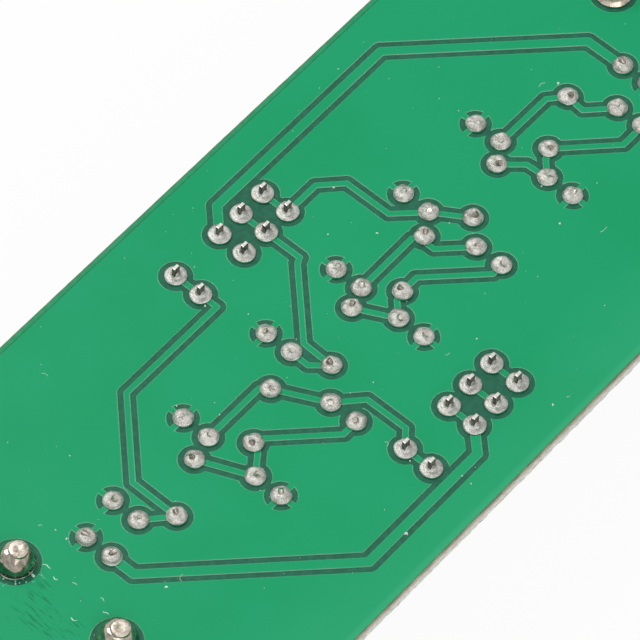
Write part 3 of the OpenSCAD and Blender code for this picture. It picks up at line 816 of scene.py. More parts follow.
@dataclass
class Surface:
    """Points and faces of shapes, with a finish number for each face.

    Attributes:
        points: Places of the points.
        quads: Point numbers of the four-sided faces.
        triangles: Point numbers of the three-sided faces.
        finish: Finish number of every face, triangles first.
    """

    points: Array
    quads: Array
    triangles: Array
    finish: Array

    @classmethod
    def join(cls, parts: Sequence["Surface"]) -> "Surface":
        """Puts several surfaces side by side into one.

        Args:
            parts: The surfaces.

        Returns:
            One surface with the faces of all of them.
        """
        starts = np.cumsum([0] + [len(part.points) for part in parts[:-1]])
        split = [(part.finish[: len(part.triangles)], part.finish[len(part.triangles) :]) for part in parts]
        return cls(
            np.concatenate([part.points for part in parts]),
            np.concatenate([part.quads + start for part, start in zip(parts, starts)]),
            np.concatenate([part.triangles + start for part, start in zip(parts, starts)]),
            np.concatenate([pair[0] for pair in split] + [pair[1] for pair in split]),
        )

    def welded(self) -> "Surface":
        """Makes the points that share a place one.

        Returns:
            The same faces on the fewer points.
        """
        keys = np.round(self.points / WELD_GRID).astype(np.int64)
        _, first, number = np.unique(keys, axis=0, return_index=True, return_inverse=True)
        number = number.reshape(-1)
        return Surface(self.points[first], number[self.quads], number[self.triangles], self.finish)

    def mesh(self, name: str, sharp_angle: float) -> bpy.types.Mesh:
        """Writes the surface into a mesh with whole arrays.

        Args:
            name: Name of the mesh.
            sharp_angle: Angle in degrees from which an edge is shaded sharp.

        Returns:
            The mesh.
        """
        corners = np.concatenate([self.triangles.ravel(), self.quads.ravel()]).astype(np.int32)
        sizes = np.repeat([3, 4], [len(self.triangles), len(self.quads)])
        made = bpy.data.meshes.new(name)
        made.vertices.add(len(self.points))
        made.vertices.foreach_set("co", self.points.astype(np.float32).ravel())
        made.loops.add(len(corners))
        made.loops.foreach_set("vertex_index", corners)
        made.polygons.add(len(sizes))
        made.polygons.foreach_set("loop_start", (np.cumsum(sizes) - sizes).astype(np.int32))
        made.polygons.foreach_set("material_index", self.finish.astype(np.int32))
        made.update(calc_edges=True)
        made.validate()
        made.set_sharp_from_angle(angle=math.radians(sharp_angle))
        return made


def loft(rings: Array, closed: bool = False) -> Surface:
    """Skins rows of rings: quads join neighbouring rings, and fans of triangles close open ends.

    Args:
        rings: Points by copy, row and column. A row runs anticlockwise as seen from the next row.
        closed: Whether the last row joins the first, as on a ring.

    Returns:
        The closed surface of all copies.
    """
    copies, rows, columns, _ = rings.shape
    index = np.arange(copies * rows * columns).reshape(copies, rows, columns)
    low = index if closed else index[:, :-1]
    high = np.roll(index, -1, axis=1) if closed else index[:, 1:]
    quads = np.stack([low, np.roll(low, -1, 2), np.roll(high, -1, 2), high], -1).reshape(-1, 4)
    points = rings.reshape(-1, 3)
    if closed:
        return Surface(points, quads, NO_TRIANGLES, np.zeros(len(quads), int))
    ends = rings[:, [0, -1]].mean(axis=2).reshape(-1, 3)
    poles = np.repeat((len(points) + np.arange(2 * copies)).reshape(copies, 2, 1), columns, axis=2)
    foot = np.stack([poles[:, 0], np.roll(index[:, 0], -1, 1), index[:, 0]], -1)
    head = np.stack([poles[:, 1], index[:, -1], np.roll(index[:, -1], -1, 1)], -1)
    triangles = np.concatenate([foot.reshape(-1, 3), head.reshape(-1, 3)])
    finish = np.zeros(len(quads) + len(triangles), int)
    return Surface(np.concatenate([points, ends]), quads, triangles, finish)


def sheet(grid: Array, side: int, finish: int, wrap: bool) -> Surface:
    """Skins one open grid of points by rows and columns.

    Args:
        grid: Points by row and column.
        side: 1 if the rows run outwards, -1 to turn the faces round.
        finish: Finish number of the faces.
        wrap: Whether the last column joins the first.

    Returns:
        The open surface.
    """
    rows, columns, _ = grid.shape
    index = np.arange(rows * columns).reshape(rows, columns)
    after = np.roll(index, -1, axis=1)
    corners = [index[:-1], after[:-1], after[1:], index[1:]]
    stop = columns if wrap else columns - 1
    quads = np.stack(corners, -1)[:, :stop].reshape(-1, 4)
    faces = quads if side > 0 else quads[:, ::-1]
    return Surface(grid.reshape(-1, 3), faces, NO_TRIANGLES, np.full(len(quads), finish))


def circle(count: int) -> Array:
    """Gives angles that are spaced evenly over a full turn."""
    return np.linspace(0, FULL_TURN, count, endpoint=False)


def latitudes(count: int) -> Array:
    """Gives a column of angles that are spaced evenly between two poles, without the poles."""
    return np.linspace(-1, 1, count + 2)[1:-1, None] * math.pi / 2


def turned(radius: Array, height: Array, places: Array, columns: int) -> Array:
    """Turns profiles round upright axes: a point is the axis plus the radius round it, at its height.

    Args:
        radius: Radius by copy, row and column, or any shape that spreads to it.
        height: Height in the same shape.
        places: The axes' X and Y by copy.
        columns: Points round an axis.

    Returns:
        Rings for loft.
    """
    radius, height, angle = np.broadcast_arrays(radius, height, circle(columns))
    x = places[:, 0, None, None] + radius * np.cos(angle)
    y = places[:, 1, None, None] + radius * np.sin(angle)
    return np.stack([x, y, np.broadcast_to(height, x.shape)], -1)


def swept(path: Array, radius: Array | float, reference: Array, sides: int, flat: float = 1.0) -> Array:
    """Carries a round section along paths: the ring's plane is square to the path, turned to the reference.

    Args:
        path: Points by copy and row.
        radius: Radius of the section by copy and row, or any shape that spreads to it.
        reference: A direction by copy and row, never along the path, that fixes the section's turn.
        sides: Points round a section.
        flat: Thickness of the section along the reference, as a share of its width.

    Returns:
        Rings for loft.
    """
    ahead = unit(np.gradient(path, axis=1))
    reference = np.broadcast_to(reference, path.shape)
    up = unit(reference - (reference * ahead).sum(-1, keepdims=True) * ahead)
    across = np.cross(ahead, up)
    angle = circle(sides)[:, None]
    radius = np.broadcast_to(radius, path.shape[:2])[..., None, None]
    ring = flat * np.cos(angle) * up[..., None, :] + np.sin(angle) * across[..., None, :]
    return path[..., None, :] + radius * ring


def unit(vectors: Array) -> Array:
    """Gives vectors of length 1."""
    return vectors / np.linalg.norm(vectors, axis=-1, keepdims=True)


def flat_points(plan: Array) -> Array:
    """Gives plan points a height of 0."""
    return np.pad(plan, ((0, 0), (0, 1)))


def rounded(value: Array, squareness: float) -> Array:
    """Pushes a sine towards -1 and 1, so that a circle turns into a rounded square."""
    return np.sign(value) * np.abs(value) ** (2 / squareness)


def leaning(level: Array, start: float, end: Array | float, reach: Array | float) -> Array:
    """Gives how far a cut lead leans over: the squared share of the way up to its tip, times its reach.

    Args:
        level: Heights of the lead's points.
        start: Height at which it starts to lean.
        end: Height of its tip.
        reach: How far the tip leans.

    Returns:
        How far each point leans.
    """
    return np.clip((level - start) / (end - start), 0, 1) ** 2 * reach


def bezier(start: Array, leave: Array, arrive: Array, end: Array, count: int) -> Array:
    """Gives points on a cubic curve: the four points weighted by the cubic Bernstein terms.

    Args:
        start: First point.
        leave: Point that the curve leaves towards.
        arrive: Point that the curve arrives from.
        end: Last point.
        count: Number of points.

    Returns:
        The points by row.
    """
    share = np.linspace(0, 1, count)[:, None]
    rest = 1 - share
    return rest**3 * start + 3 * rest**2 * share * leave + 3 * rest * share**2 * arrive + share**3 * end


def ripple(points: Array, length: float, seed: int, waves: int = 9) -> Array:
    """Gives smooth noise of about -1 to 1: a sum of sine waves with random directions and phases.

    Args:
        points: Places, with their coordinates last.
        length: Mean length of a wave.
        seed: Seed of the random numbers.
        waves: Number of waves.

    Returns:
        The noise at every place.
    """
    random = np.random.default_rng(seed)
    direction = unit(random.normal(size=(waves, points.shape[-1])))
    number = FULL_TURN / (length * random.uniform(0.6, 1.5, (waves, 1)))
    phase = random.uniform(0, FULL_TURN, waves)
    return np.sin(points @ (direction * number).T + phase).sum(-1) / math.sqrt(waves)


def node_triangles(node: str) -> tuple[Array, Array]:
    """Reads a CAD node's mesh with the points that share a place made one.

    Args:
        node: Name of the node.

    Returns:
        The points and the triangles.
    """
    mesh = frame["nodes"][node].data
    points = np.empty(3 * len(mesh.vertices), np.float32)
    corners = np.empty(len(mesh.loops), np.int32)
    mesh.vertices.foreach_get("co", points)
    mesh.loops.foreach_get("vertex_index", corners)
    places = points.reshape(-1, 3).astype(float)
    merged = Surface(places, NO_QUADS, corners.reshape(-1, 3), np.empty(0)).welded()
    return merged.points, merged.triangles


def solids(node: str) -> tuple[Array, Array]:
    """Finds the separate solids of a CAD node by spreading the lowest point number over joined faces.

    Args:
        node: Name of the node.

    Returns:
        The lowest and the highest corner of each solid.
    """
    points, triangles = node_triangles(node)
    label = np.arange(len(points))
    settled = False
    while not settled:
        spread = label.copy()
        np.minimum.at(spread, triangles.ravel(), np.repeat(label[triangles].min(axis=1), 3))
        spread = spread[spread]
        settled = bool((spread == label).all())
        label = spread
    _, number = np.unique(label, return_inverse=True)
    low = np.full((number.max() + 1, 3), np.inf)
    high = -low
    np.minimum.at(low, number, points)
    np.maximum.at(high, number, points)
    return low, high


def box(node: str) -> tuple[Array, Array]:
    """Gives a CAD node's lowest and highest corners as arrays."""
    low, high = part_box(node)
    return np.array(low), np.array(high)


def solder_level() -> float:
    """Gives the height of the solder side's foil."""
    return box("solder_side_foil")[1][2]


def component_level() -> float:
    """Gives the height of the component side's foil."""
    return box("component_side_foil")[0][2]


def add_piece(
    name: str,
    surface: Surface,
    finishes: Sequence[Finish],
    replaces: Sequence[str] = (),
    sharp_angle: float = 60.0,
) -> None:
    """Makes a piece of the object that rides on the board.

    Args:
        name: Name of the piece.
        surface: Its shape.
        finishes: Its finishes, in the order of their numbers on the faces.
        replaces: CAD nodes that the piece stands for.
        sharp_angle: Angle in degrees from which an edge is shaded sharp.
    """
    piece = bpy.data.objects.new(name, surface.mesh(name, sharp_angle))
    bpy.context.scene.collection.objects.link(piece)
    for finish in finishes:
        piece.data.materials.append(finish.material())
    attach(piece, Body.BOARD.value)
    if replaces:
        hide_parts(*replaces)
    log.info("%s: %d points", name, len(surface.points))


def dress_node(node: str, finish: Finish, edge: float = 0.0) -> None:
    """Gives a CAD node its finish, and rounds its edges with modifiers.

    Args:
        node: Name of the node.
        finish: Its finish.
        edge: Width of the rounding in millimetres, or 0 for none.
    """
    piece = frame["nodes"][node]
    piece.material_slots[0].material = finish.material()
    if edge:
        weld = piece.modifiers.new("weld", "WELD")
        weld.merge_threshold = MM * edge * ROUNDING_WELD_SHARE
        bevel = piece.modifiers.new("edge", "BEVEL")
        bevel.width = MM * edge
        bevel.segments = ROUNDING_FACES
        bevel.limit_method = "ANGLE"
        bevel.angle_limit = math.radians(ROUNDED_ANGLE)
    log.info("%s: %s", node, finish.name)


@dataclass
class Laminate:
    """The bare laminate with its broken glass edge and mounting holes.

    Attributes:
        edge_step: Distance between points along the edge in millimetres.
        edge_rows: Rows of points through the thickness.
        edge_depth: Depth of the broken edge in millimetres.
        chip_length: Length of a long chip in the edge in millimetres.
        splinter_length: Length of a short chip in millimetres.
        ply_stretch: How much longer than high a chip is.
        least: Share of the thickness down to which the chips stay as small as at the solder side.
        full: Share of the thickness from which the chips are full.
        seam_points: Points on each seam between two quarters.
        hole_rings: Rings of faces between a mounting hole and the edge.
        seed: Seed of the broken edge.
    """

    edge_step: float = 0.16
    edge_rows: int = 15
    edge_depth: float = 0.08
    chip_length: float = 1.4
    splinter_length: float = 0.5
    ply_stretch: float = 4.0
    least: float = 0.12
    full: float = 0.7
    seam_points: int = 60
    hole_rings: int = 2
    seed: int = 5

    def __post_init__(self) -> None:
        """Reads the laminate's sizes and a mounting hole from the frame."""
        self.low, self.high = box("board")
        self.half = (self.high - self.low)[:2] / 2
        holes = next(mount for mount in frame["record"]["mounts"] if mount["name"] == "corner_holes")
        self.hole = np.array([holes["dims"]["spacing_x_mm"], holes["dims"]["spacing_y_mm"]]) * MM / 2
        points, _ = node_triangles("board")
        self.hole_r = np.linalg.norm(points[:, :2] - self.hole, axis=1).min()

    def broken(self, place: Array, outward: Array) -> Array:
        """Sets edge points back by noise in long low plies, little at the solder side and more below it.

        Args:
            place: Points of the edge.
            outward: Which way each point faces.

        Returns:
            The points of the broken edge.
        """
        plies = place / MM * np.array([1.0, 1.0, self.ply_stretch])
        chips = 0.3 * ripple(plies, self.chip_length, self.seed)
        splinters = 0.25 * ripple(plies, self.splinter_length, self.seed + 1)
        noise = np.clip(0.5 + chips + splinters, 0, 1)
        below = (self.high[2] - place[..., 2]) / (self.high[2] - self.low[2])
        share = np.clip(below, self.least, self.full) / self.full
        return place - outward * (self.edge_depth * MM * share * noise)[..., None]

    def outline(self) -> tuple[Array, Array, Array]:
        """Walks round a quarter of the board from its middle: along X, up the end and back along the side.

        Returns:
            The plan points, which way each faces outwards, and where the outer part starts and ends.
        """
        along, across = np.maximum(2, np.round(self.half / (self.edge_step * MM))).astype(int)
        counts = (self.seam_points, across, along, self.seam_points)
        knots = np.array([(0, 0), (1, 0), (1, 1), (0, 1), (0, 0)]) * self.half
        runs = zip(knots, knots[1:], counts)
        plan = np.concatenate([np.linspace(start, end, count, endpoint=False) for start, end, count in runs])
        outward = np.repeat(np.array([(0, 0), (1, 0), (0, 1), (0, 0)], float), counts, axis=0)
        first, corner, last, _ = np.cumsum(counts)
        outward[corner] = (1, 1)
        outward[last] = (0, 1)
        return plan, outward, np.array([first, last + 1])

    def quarter(self, sign: Array) -> Surface:
        """Makes a quarter of the board: two plates round the hole, the hole's wall and the outer wall.

        Args:
            sign: Which way the quarter lies along X and Y.

        Returns:
            The quarter's open surface.
        """
        plan, outward, (start, stop) = self.outline()
        levels = np.linspace(self.low[2], self.high[2], self.edge_rows)
        signs = np.append(sign, 1.0)
        place = flat_points(plan) + UP * levels[:, None, None]
        wall = self.broken(place * signs, flat_points(outward) * signs)
        ring = flat_points(self.hole + self.hole_r * unit(plan - self.hole)) * signs
        share = np.linspace(0, 1, self.hole_rings + 1)[:, None, None]
        flip = int(sign.prod())
        parts = []
        for row, side in ((-1, flip), (0, -flip)):
            plate = (1 - share) * ring + share * wall[row]
            plate[..., 2] = levels[row]
            parts.append(sheet(plate, side, BoardFace.MASKED, wrap=True))
        bore = ring + UP * levels[[0, -1], None, None]
        parts.append(sheet(bore, -flip, BoardFace.BROKEN, wrap=True))
        parts.append(sheet(wall[:, start:stop], flip, BoardFace.BROKEN, wrap=False))
        return Surface.join(parts)

    def build(self) -> None:
        """Joins the four quarters into one closed board."""
        signs = [np.array([x, y], float) for x in (-1, 1) for y in (-1, 1)]
        surface = Surface.join([self.quarter(sign) for sign in signs]).welded()
        bare = BareFinish("mask_on_bare_laminate", tuple(self.half / MM))
        edge = FibreFinish("broken_glass_edge", self.high[2] / MM)
        add_piece("board_laminate", surface, [bare, edge], ["board"], sharp_angle=1)


@dataclass
class Pads:
    """Soldered pads of one kind.

    Attributes:
        middle: X and Y of each pad's middle.
        radius: Radius of each pad.
        height: Height of the solder on each pad above the solder side.
    """

    middle: Array
    radius: Array
    height: Array

    @classmethod
    def read(cls, node: str) -> "Pads":
        """Reads the pads under the solids of a CAD node of solder."""
        low, high = solids(node)
        return cls((low + high)[:, :2] / 2, (high - low)[:, 0] / 2, high[:, 2] - solder_level())

    @classmethod
    def join(cls, groups: Sequence["Pads"]) -> "Pads":
        """Puts several groups of pads into one."""
        columns = zip(*((group.middle, group.radius, group.height) for group in groups))
        return cls(*(np.concatenate(column) for column in columns))

    def only(self, chosen: Array) -> "Pads":
        """Gives the chosen pads alone."""
        return Pads(self.middle[chosen], self.radius[chosen], self.height[chosen])


@dataclass
class Foil:
    """One copper foil under solder mask, with a rounded rim of mask along each copper edge, whose wall is
    pale with a painted highlight.

    Attributes:
        node: Name of the CAD node.
        side: Which side of the board it is on.
        pads: Every soldered pad, where the mask leaves off.
        coat: Finish of the mask.
        profile: The rim's section as distances outwards and upwards from the copper edge, in millimetres.
        wall_faces: Number of faces of the section that stand on the laminate as a wall.
        end_faces: Corners of the section in the two faces that close an end of a rim.
        clear: Distance from a pad at which a rim starts, in millimetres.
        soft: Width of the plain slope down to the front edge of the board, in millimetres.
        bluntness: Least square of the mean normal at a corner, which keeps sharp mitres short.
    """

    node: str
    side: Side
    pads: Pads
    coat: Finish = SATIN_MASK
    profile: Profile = (
        (0.008, -0.069),
        (0.008, -0.014),
        (-0.004, 0.006),
        (-0.03, 0.011),
        (-0.075, 0.001),
        (-0.075, -0.03),
    )
    wall_faces: int = 2
    end_faces: tuple[tuple[int, ...], ...] = ((0, 1, 2, 3), (0, 3, 4, 5))
    clear: float = 0.05
    soft: float = 0.11
    bluntness: float = 0.4

    def edges(self) -> tuple[Array, Array]:
        """Finds the copper edges away from pads: the sides that only one triangle of the outer face has.

        Returns:
            The foil's points, and the edges, each with the copper on its left as seen from outside.
        """
        points, triangles = node_triangles(self.node)
        low, high = box(self.node)
        level = high[2] if self.side is Side.SOLDER else low[2]
        outer = triangles[(np.abs(points[triangles][..., 2] - level) < WELD_GRID * 10).all(axis=1)]
        sides = np.concatenate([outer[:, [0, 1]], outer[:, [1, 2]], outer[:, [2, 0]]])
        _, number, count = np.unique(np.sort(sides, axis=1), axis=0, return_inverse=True, return_counts=True)
        edges = sides[count[number.reshape(-1)] == 1]
        middle = points[edges].mean(axis=1)[:, None, :2]
        apart = np.linalg.norm(middle - self.pads.middle, axis=-1) - self.pads.radius
        return points, edges[apart.min(axis=1) > self.clear * MM]

    def mitres(self, place: Array, ends: Array) -> Array:
        """Works out the mitre at each point: the mean of its edges' normals over the square of that mean.

        Args:
            place: Points of the edges.
            ends: Numbers of each edge's first and last point.

        Returns:
            How far each point moves in plan for each unit outwards.
        """
        run = unit(place[ends[:, 1]] - place[ends[:, 0]])
        outward = np.stack([run[:, 1], -run[:, 0]], -1) * self.side.value
        total = np.zeros((len(place), 2))
        np.add.at(total, ends.ravel(), np.repeat(outward, 2, axis=0))
        mean = total / np.bincount(ends.ravel(), minlength=len(place))[:, None]
        return mean / np.maximum((mean**2).sum(-1, keepdims=True), self.bluntness)

    def rim(self) -> Surface:
        """Carries the rim's section along the copper edges, mitred at each point, and closes its ends.

        Returns:
            The closed surface.
        """
        points, edges = self.edges()
        used, ends = np.unique(edges, return_inverse=True)
        ends = ends.reshape(-1, 2)
        place = points[used]
        section = np.array(self.profile) * MM
        front = (place[:, 1] < points[:, 1].min() + self.clear * MM) & (self.side is Side.SOLDER)
        widen = np.where(front, self.soft * MM / section[0, 0], 1)[:, None]
        reach = section[:, 0] * np.where(section[:, 0] > 0, widen, 1)
        plan = place[:, None, :2] + self.mitres(place, ends)[:, None] * reach[..., None]
        height = place[:, None, 2] + self.side.value * section[:, 1]
        grid = np.concatenate([plan, height[..., None]], -1)
        size = len(section)
        number = np.arange(len(used) * size).reshape(-1, size)
        first, last = number[ends[:, 0]], number[ends[:, 1]]
        quads = np.stack([first, np.roll(first, -1, 1), np.roll(last, -1, 1), last], -1).reshape(-1, 4)
        starts = np.setdiff1d(ends[:, 0], ends[:, 1])
        stops = np.setdiff1d(ends[:, 1], ends[:, 0])
        caps = np.concatenate([number[starts][:, ::-1], number[stops]])
        lids = [caps[:, corners] for corners in self.end_faces]
        upright = np.tile(np.arange(size) < self.wall_faces, len(ends))
        wall = np.append(upright, np.zeros(len(lids) * len(caps), bool))
        faces = np.concatenate([quads, *lids])
        inset = np.minimum(place - points.min(axis=0), points.max(axis=0) - place)[:, :2].min(axis=1)
        plain = (inset < self.clear * MM)[faces // size].all(axis=1)
        finish = np.where(plain, RimFace.PLAIN, np.where(wall, RimFace.WALL, RimFace.CREST))
        return Surface(grid.reshape(-1, 3), faces[:, :: -self.side.value], NO_TRIANGLES, finish)

    def build(self) -> None:
        """Dresses the foil and lays its rims."""
        dress_node(self.node, self.coat)
        # The rim's wall takes the pale finish with a painted highlight
        finishes = [RIM_MASK, self.coat, WALL_MASK_AND_HIGHLIGHT]
        add_piece(f"{self.node}_rim", self.rim(), finishes, sharp_angle=75)


@dataclass
class JointForm:
    """Form of one kind of soldered joint.

    Attributes:
        slope: Upper profile as shares of the radius and of the height above the rim, from the rim inwards.
        hole: Radius of the plug through the board as a share of the pad's.
        lump: Height of the lumps in millimetres.
        seed: Seed of the lumps.
        collar: Whether the solder spreads over the pad on the component side.
        pit: Depth of the deepest pit round a lead, as a share of the height.
    """

    slope: Array
    hole: float
    lump: float
    seed: int
    collar: bool = False
    pit: float = 0.0


@dataclass
class SolderJoints:
    """All soldered pads: frosty domes on leads, hollow cones on switch pins and fillets on jack posts.

    Attributes:
        columns: Points round a joint.
        rim: Height of a joint's rounded rim in millimetres.
        swell: The rim's profile as shares of the radius and of the rim's height.
        collar: Thickness of the solder round a lead on the component side, in millimetres.
        foot: The collar's profile as shares of the radius and of the collar's thickness.
        lump: Height of the lumps on a dome in millimetres.
        lump_lengths: Lengths of the long and the short lumps in pad radii.
        lump_weights: Shares of the long and the short lumps in the height.
        pit_size: Radius of a pit as a share of the pad's.
        pit_depths: Range of the random pit depths, where less than 0 is no pit.
        spread: How far the lumps push a joint outwards, as a share of its radius.
        tip: Radius of a joint's flat tip as a share of the pad's.
        waist: Radius of a post's fillet at its top, as a share of the pad's.
        summit: Height of a post's fillet as a share of the CAD one's.
        cover: Height of the solder over a jack pin in millimetres.
        stub: Length of the bent stub on a jack pin in millimetres.
        splashes: Distance in pad radii, angle, height and radius in millimetres of each ball at a post.
        seed: Seed of the lumps.
    """

    columns: int = 44
    rim: float = 0.12
    swell: Profile = ((1.0, 0.0), (1.03, 0.4), (1.02, 0.85))
    collar: float = 0.1
    foot: Profile = ((0.42, 1.0), (0.7, 0.55), (1.0, 0.25), (1.0, 0.0))
    lump: float = 0.05
    lump_lengths: Pair = (1.1, 0.42)
    lump_weights: Pair = (0.6, 0.4)
    pit_size: float = 0.3
    pit_depths: Range = (-0.6, 1.0)
    spread: float = 0.035
    tip: float = 0.04
    waist: float = 0.48
    summit: float = 1.01
    cover: float = 0.16
    stub: float = 0.6
    splashes: tuple[tuple[float, float, float, float], ...] = (
        (0.78, 2.4, 1.0, 0.34),
        (0.68, 2.9, 1.2, 0.3),
        (0.86, 2.1, 0.8, 0.26),
        (0.86, 2.8, 0.75, 0.22),
    )
    seed: int = 21

    def __post_init__(self) -> None:
        """Reads the joints from the frame and parts the jacks' thick posts from their pins."""
        self.top, self.bottom = solder_level(), component_level()
        self.leads = Pads.read("lead_solder")
        self.switches = Pads.read("switch_solder")
        jacks = Pads.read("jack_solder")
        thick = jacks.radius > jacks.radius.mean()
        self.pins, self.posts = jacks.only(~thick), jacks.only(thick)

    def pads(self) -> Pads:
        """Gives every pad."""
        return Pads.join([self.leads, self.switches, self.pins, self.posts])

    def dome(self) -> Array:
        """Gives a dome's slope: mostly a fifth-power curve, steep at the rim, and a little plain cone."""
        share = np.linspace(1.0, self.tip, 13)
        return np.stack([share, 0.7 * (1 - share**5) + 0.2 * (1 - share)], 1)

    def cone(self) -> Array:
        """Gives a hollow cone's slope: a low plate by an eighth-power curve, with a rise round the pin.

        Returns:
            The slope.
        """
        share = np.linspace(1.0, self.tip, 13)
        rise = np.clip((0.58 - share) / 0.4, 0, 1) ** 1.8
        return np.stack([share, 0.12 * (1 - share**8) + 0.5 * rise], 1)

    def fillet(self, form: Fillet) -> Array:
        """Gives the slope round a post: full by a squared curve or hollow by a square root, with a flat end.

        Args:
            form: Which of the two.

        Returns:
            The slope.
        """
        rise = np.linspace(0, 1, 14)
        if form is Fillet.BULLET:
            share = self.waist + (1 - self.waist) * (1 - rise**2) ** 0.8
        else:
            share = 1 - (1 - self.waist) * np.sqrt(rise)
        return np.concatenate([np.stack([share, self.summit * rise], 1), [[0.2, self.summit]]])

    def joint(self, pads: Pads, form: JointForm) -> Surface:
        """Turns joints: a plug through the board, a rim on the pad and the slope, with smooth noise added.

        Args:
            pads: The pads.
            form: Form of their joints.

        Returns:
            The closed surface.
        """
        rim = self.rim * MM
        foot = np.array(self.foot if form.collar else [], float).reshape(-1, 2)
        swell = np.array(self.swell)
        share, rise = form.slope.T
        wide = np.concatenate([foot[:, 0], [form.hole, form.hole], swell[:, 0], share])
        under = np.append(self.bottom - self.collar * MM * foot[:, 1], self.bottom)
        low = np.concatenate([under, [self.top], self.top + rim * swell[:, 1]])
        depth = np.random.default_rng(form.seed).uniform(*self.pit_depths, (len(pads.radius), 1))
        hollow = form.pit * np.clip(depth, 0, 1) * np.exp(-((share / self.pit_size) ** 2))
        high = self.top + rim + (rise - hollow) * (pads.height[:, None] - rim)
        height = np.concatenate([np.tile(low, (len(high), 1)), high], 1)[..., None]
        rings = turned((wide * pads.radius[:, None])[..., None], height, pads.middle, self.columns)
        above = np.clip((rings[..., 2] - self.top) / rim, 0, 1)
        long, short = self.lump_lengths
        wobble = ripple(rings / pads.radius.mean(), long, form.seed)
        fine = ripple(rings / pads.radius.mean(), short, form.seed + 1)
        out = (rings - flat_points(pads.middle)[:, None, None]) * np.array([1, 1, 0])
        rings = rings + out * (self.spread * wobble * above)[..., None]
        lumps = self.lump_weights[0] * wobble + self.lump_weights[1] * fine
        rings[..., 2] += form.lump * MM * above**2 * lumps
        return loft(rings)

    def stubs(self) -> Surface:
        """Sweeps the jack pins' bent stubs: a quarter turn from upright to lying, out of the solder.

        Returns:
            The closed surface.
        """
        middle, stub = self.pins.middle, self.stub * MM
        lean = np.random.default_rng(self.seed + 30).uniform(0, FULL_TURN, (len(middle), 1))
        bend = np.linspace(0, 1, 9) * math.pi / 2
        out = stub * (0.6 - np.cos(bend))
        x = middle[:, :1] + np.cos(lean) * out
        y = middle[:, 1:] + np.sin(lean) * out
        z = self.top + self.pins.height[:, None] + stub * (np.sin(bend) - 0.7)
        side = np.stack([-np.sin(lean), np.cos(lean), 0 * lean], -1)
        return loft(swept(np.stack([x, y, z], -1), stub / 3, side, 12))

    def splash(self) -> Surface:
        """Makes the lump of solder beside the rear left post: a few overlapping balls against its side.

        Returns:
            The closed surface.
        """
        middle = self.posts.middle
        left = np.where(middle[:, 0] < 0, middle[:, 1], -np.inf).argmax()
        away, angle, height, size = np.array(self.splashes).T[..., None]
        way = np.concatenate([np.cos(angle), np.sin(angle)], 1)
        places = middle[left] + self.posts.radius[left] * away * way
        ball = size[..., None] * MM
        level = self.top + height[..., None] * MM + ball * np.sin(latitudes(12))
        return loft(turned(ball * np.cos(latitudes(12)), level, places, 20))

    def build(self) -> None:
        """Builds the joints of each kind."""
        form = JointForm(self.dome(), hole=0.48, lump=self.lump, seed=self.seed, collar=True, pit=0.45)
        add_piece("lead_joints", self.joint(self.leads, form), [FROSTY_SOLDER], ["lead_solder"])
        form = JointForm(self.dome(), hole=0.7, lump=self.lump, seed=self.seed + 5, collar=True)
        covered = Pads(self.pins.middle, self.pins.radius, self.pins.height + self.cover * MM)
        add_piece("jack_pin_joints", self.joint(covered, form), [FROSTY_SOLDER])
        add_piece("jack_pin_stubs", self.stubs(), [COPPER_TIP], sharp_angle=50)
        form = JointForm(self.cone(), hole=0.5, lump=0.4 * self.lump, seed=self.seed + 10)
        switches = self.joint(self.switches, form)
        add_piece("switch_joints", switches, [DISC_SOLDER], ["switch_solder"])
        right = self.posts.middle[:, 0] > 0
        posts = []
        for fillet, chosen in ((Fillet.BULLET, ~right), (Fillet.HOLLOW, right)):
            form = JointForm(self.fillet(fillet), hole=0.7, lump=0.8 * self.lump, seed=self.seed + 15)
            posts.append(self.joint(self.posts.only(chosen), form))
            posts[-1].finish += fillet
        finishes = [BRIGHT_SOLDER, PALE_SOLDER]
        add_piece("post_joints", Surface.join(posts), finishes, ["jack_solder"])
        add_piece("post_splash", self.splash(), [BRIGHT_SOLDER])


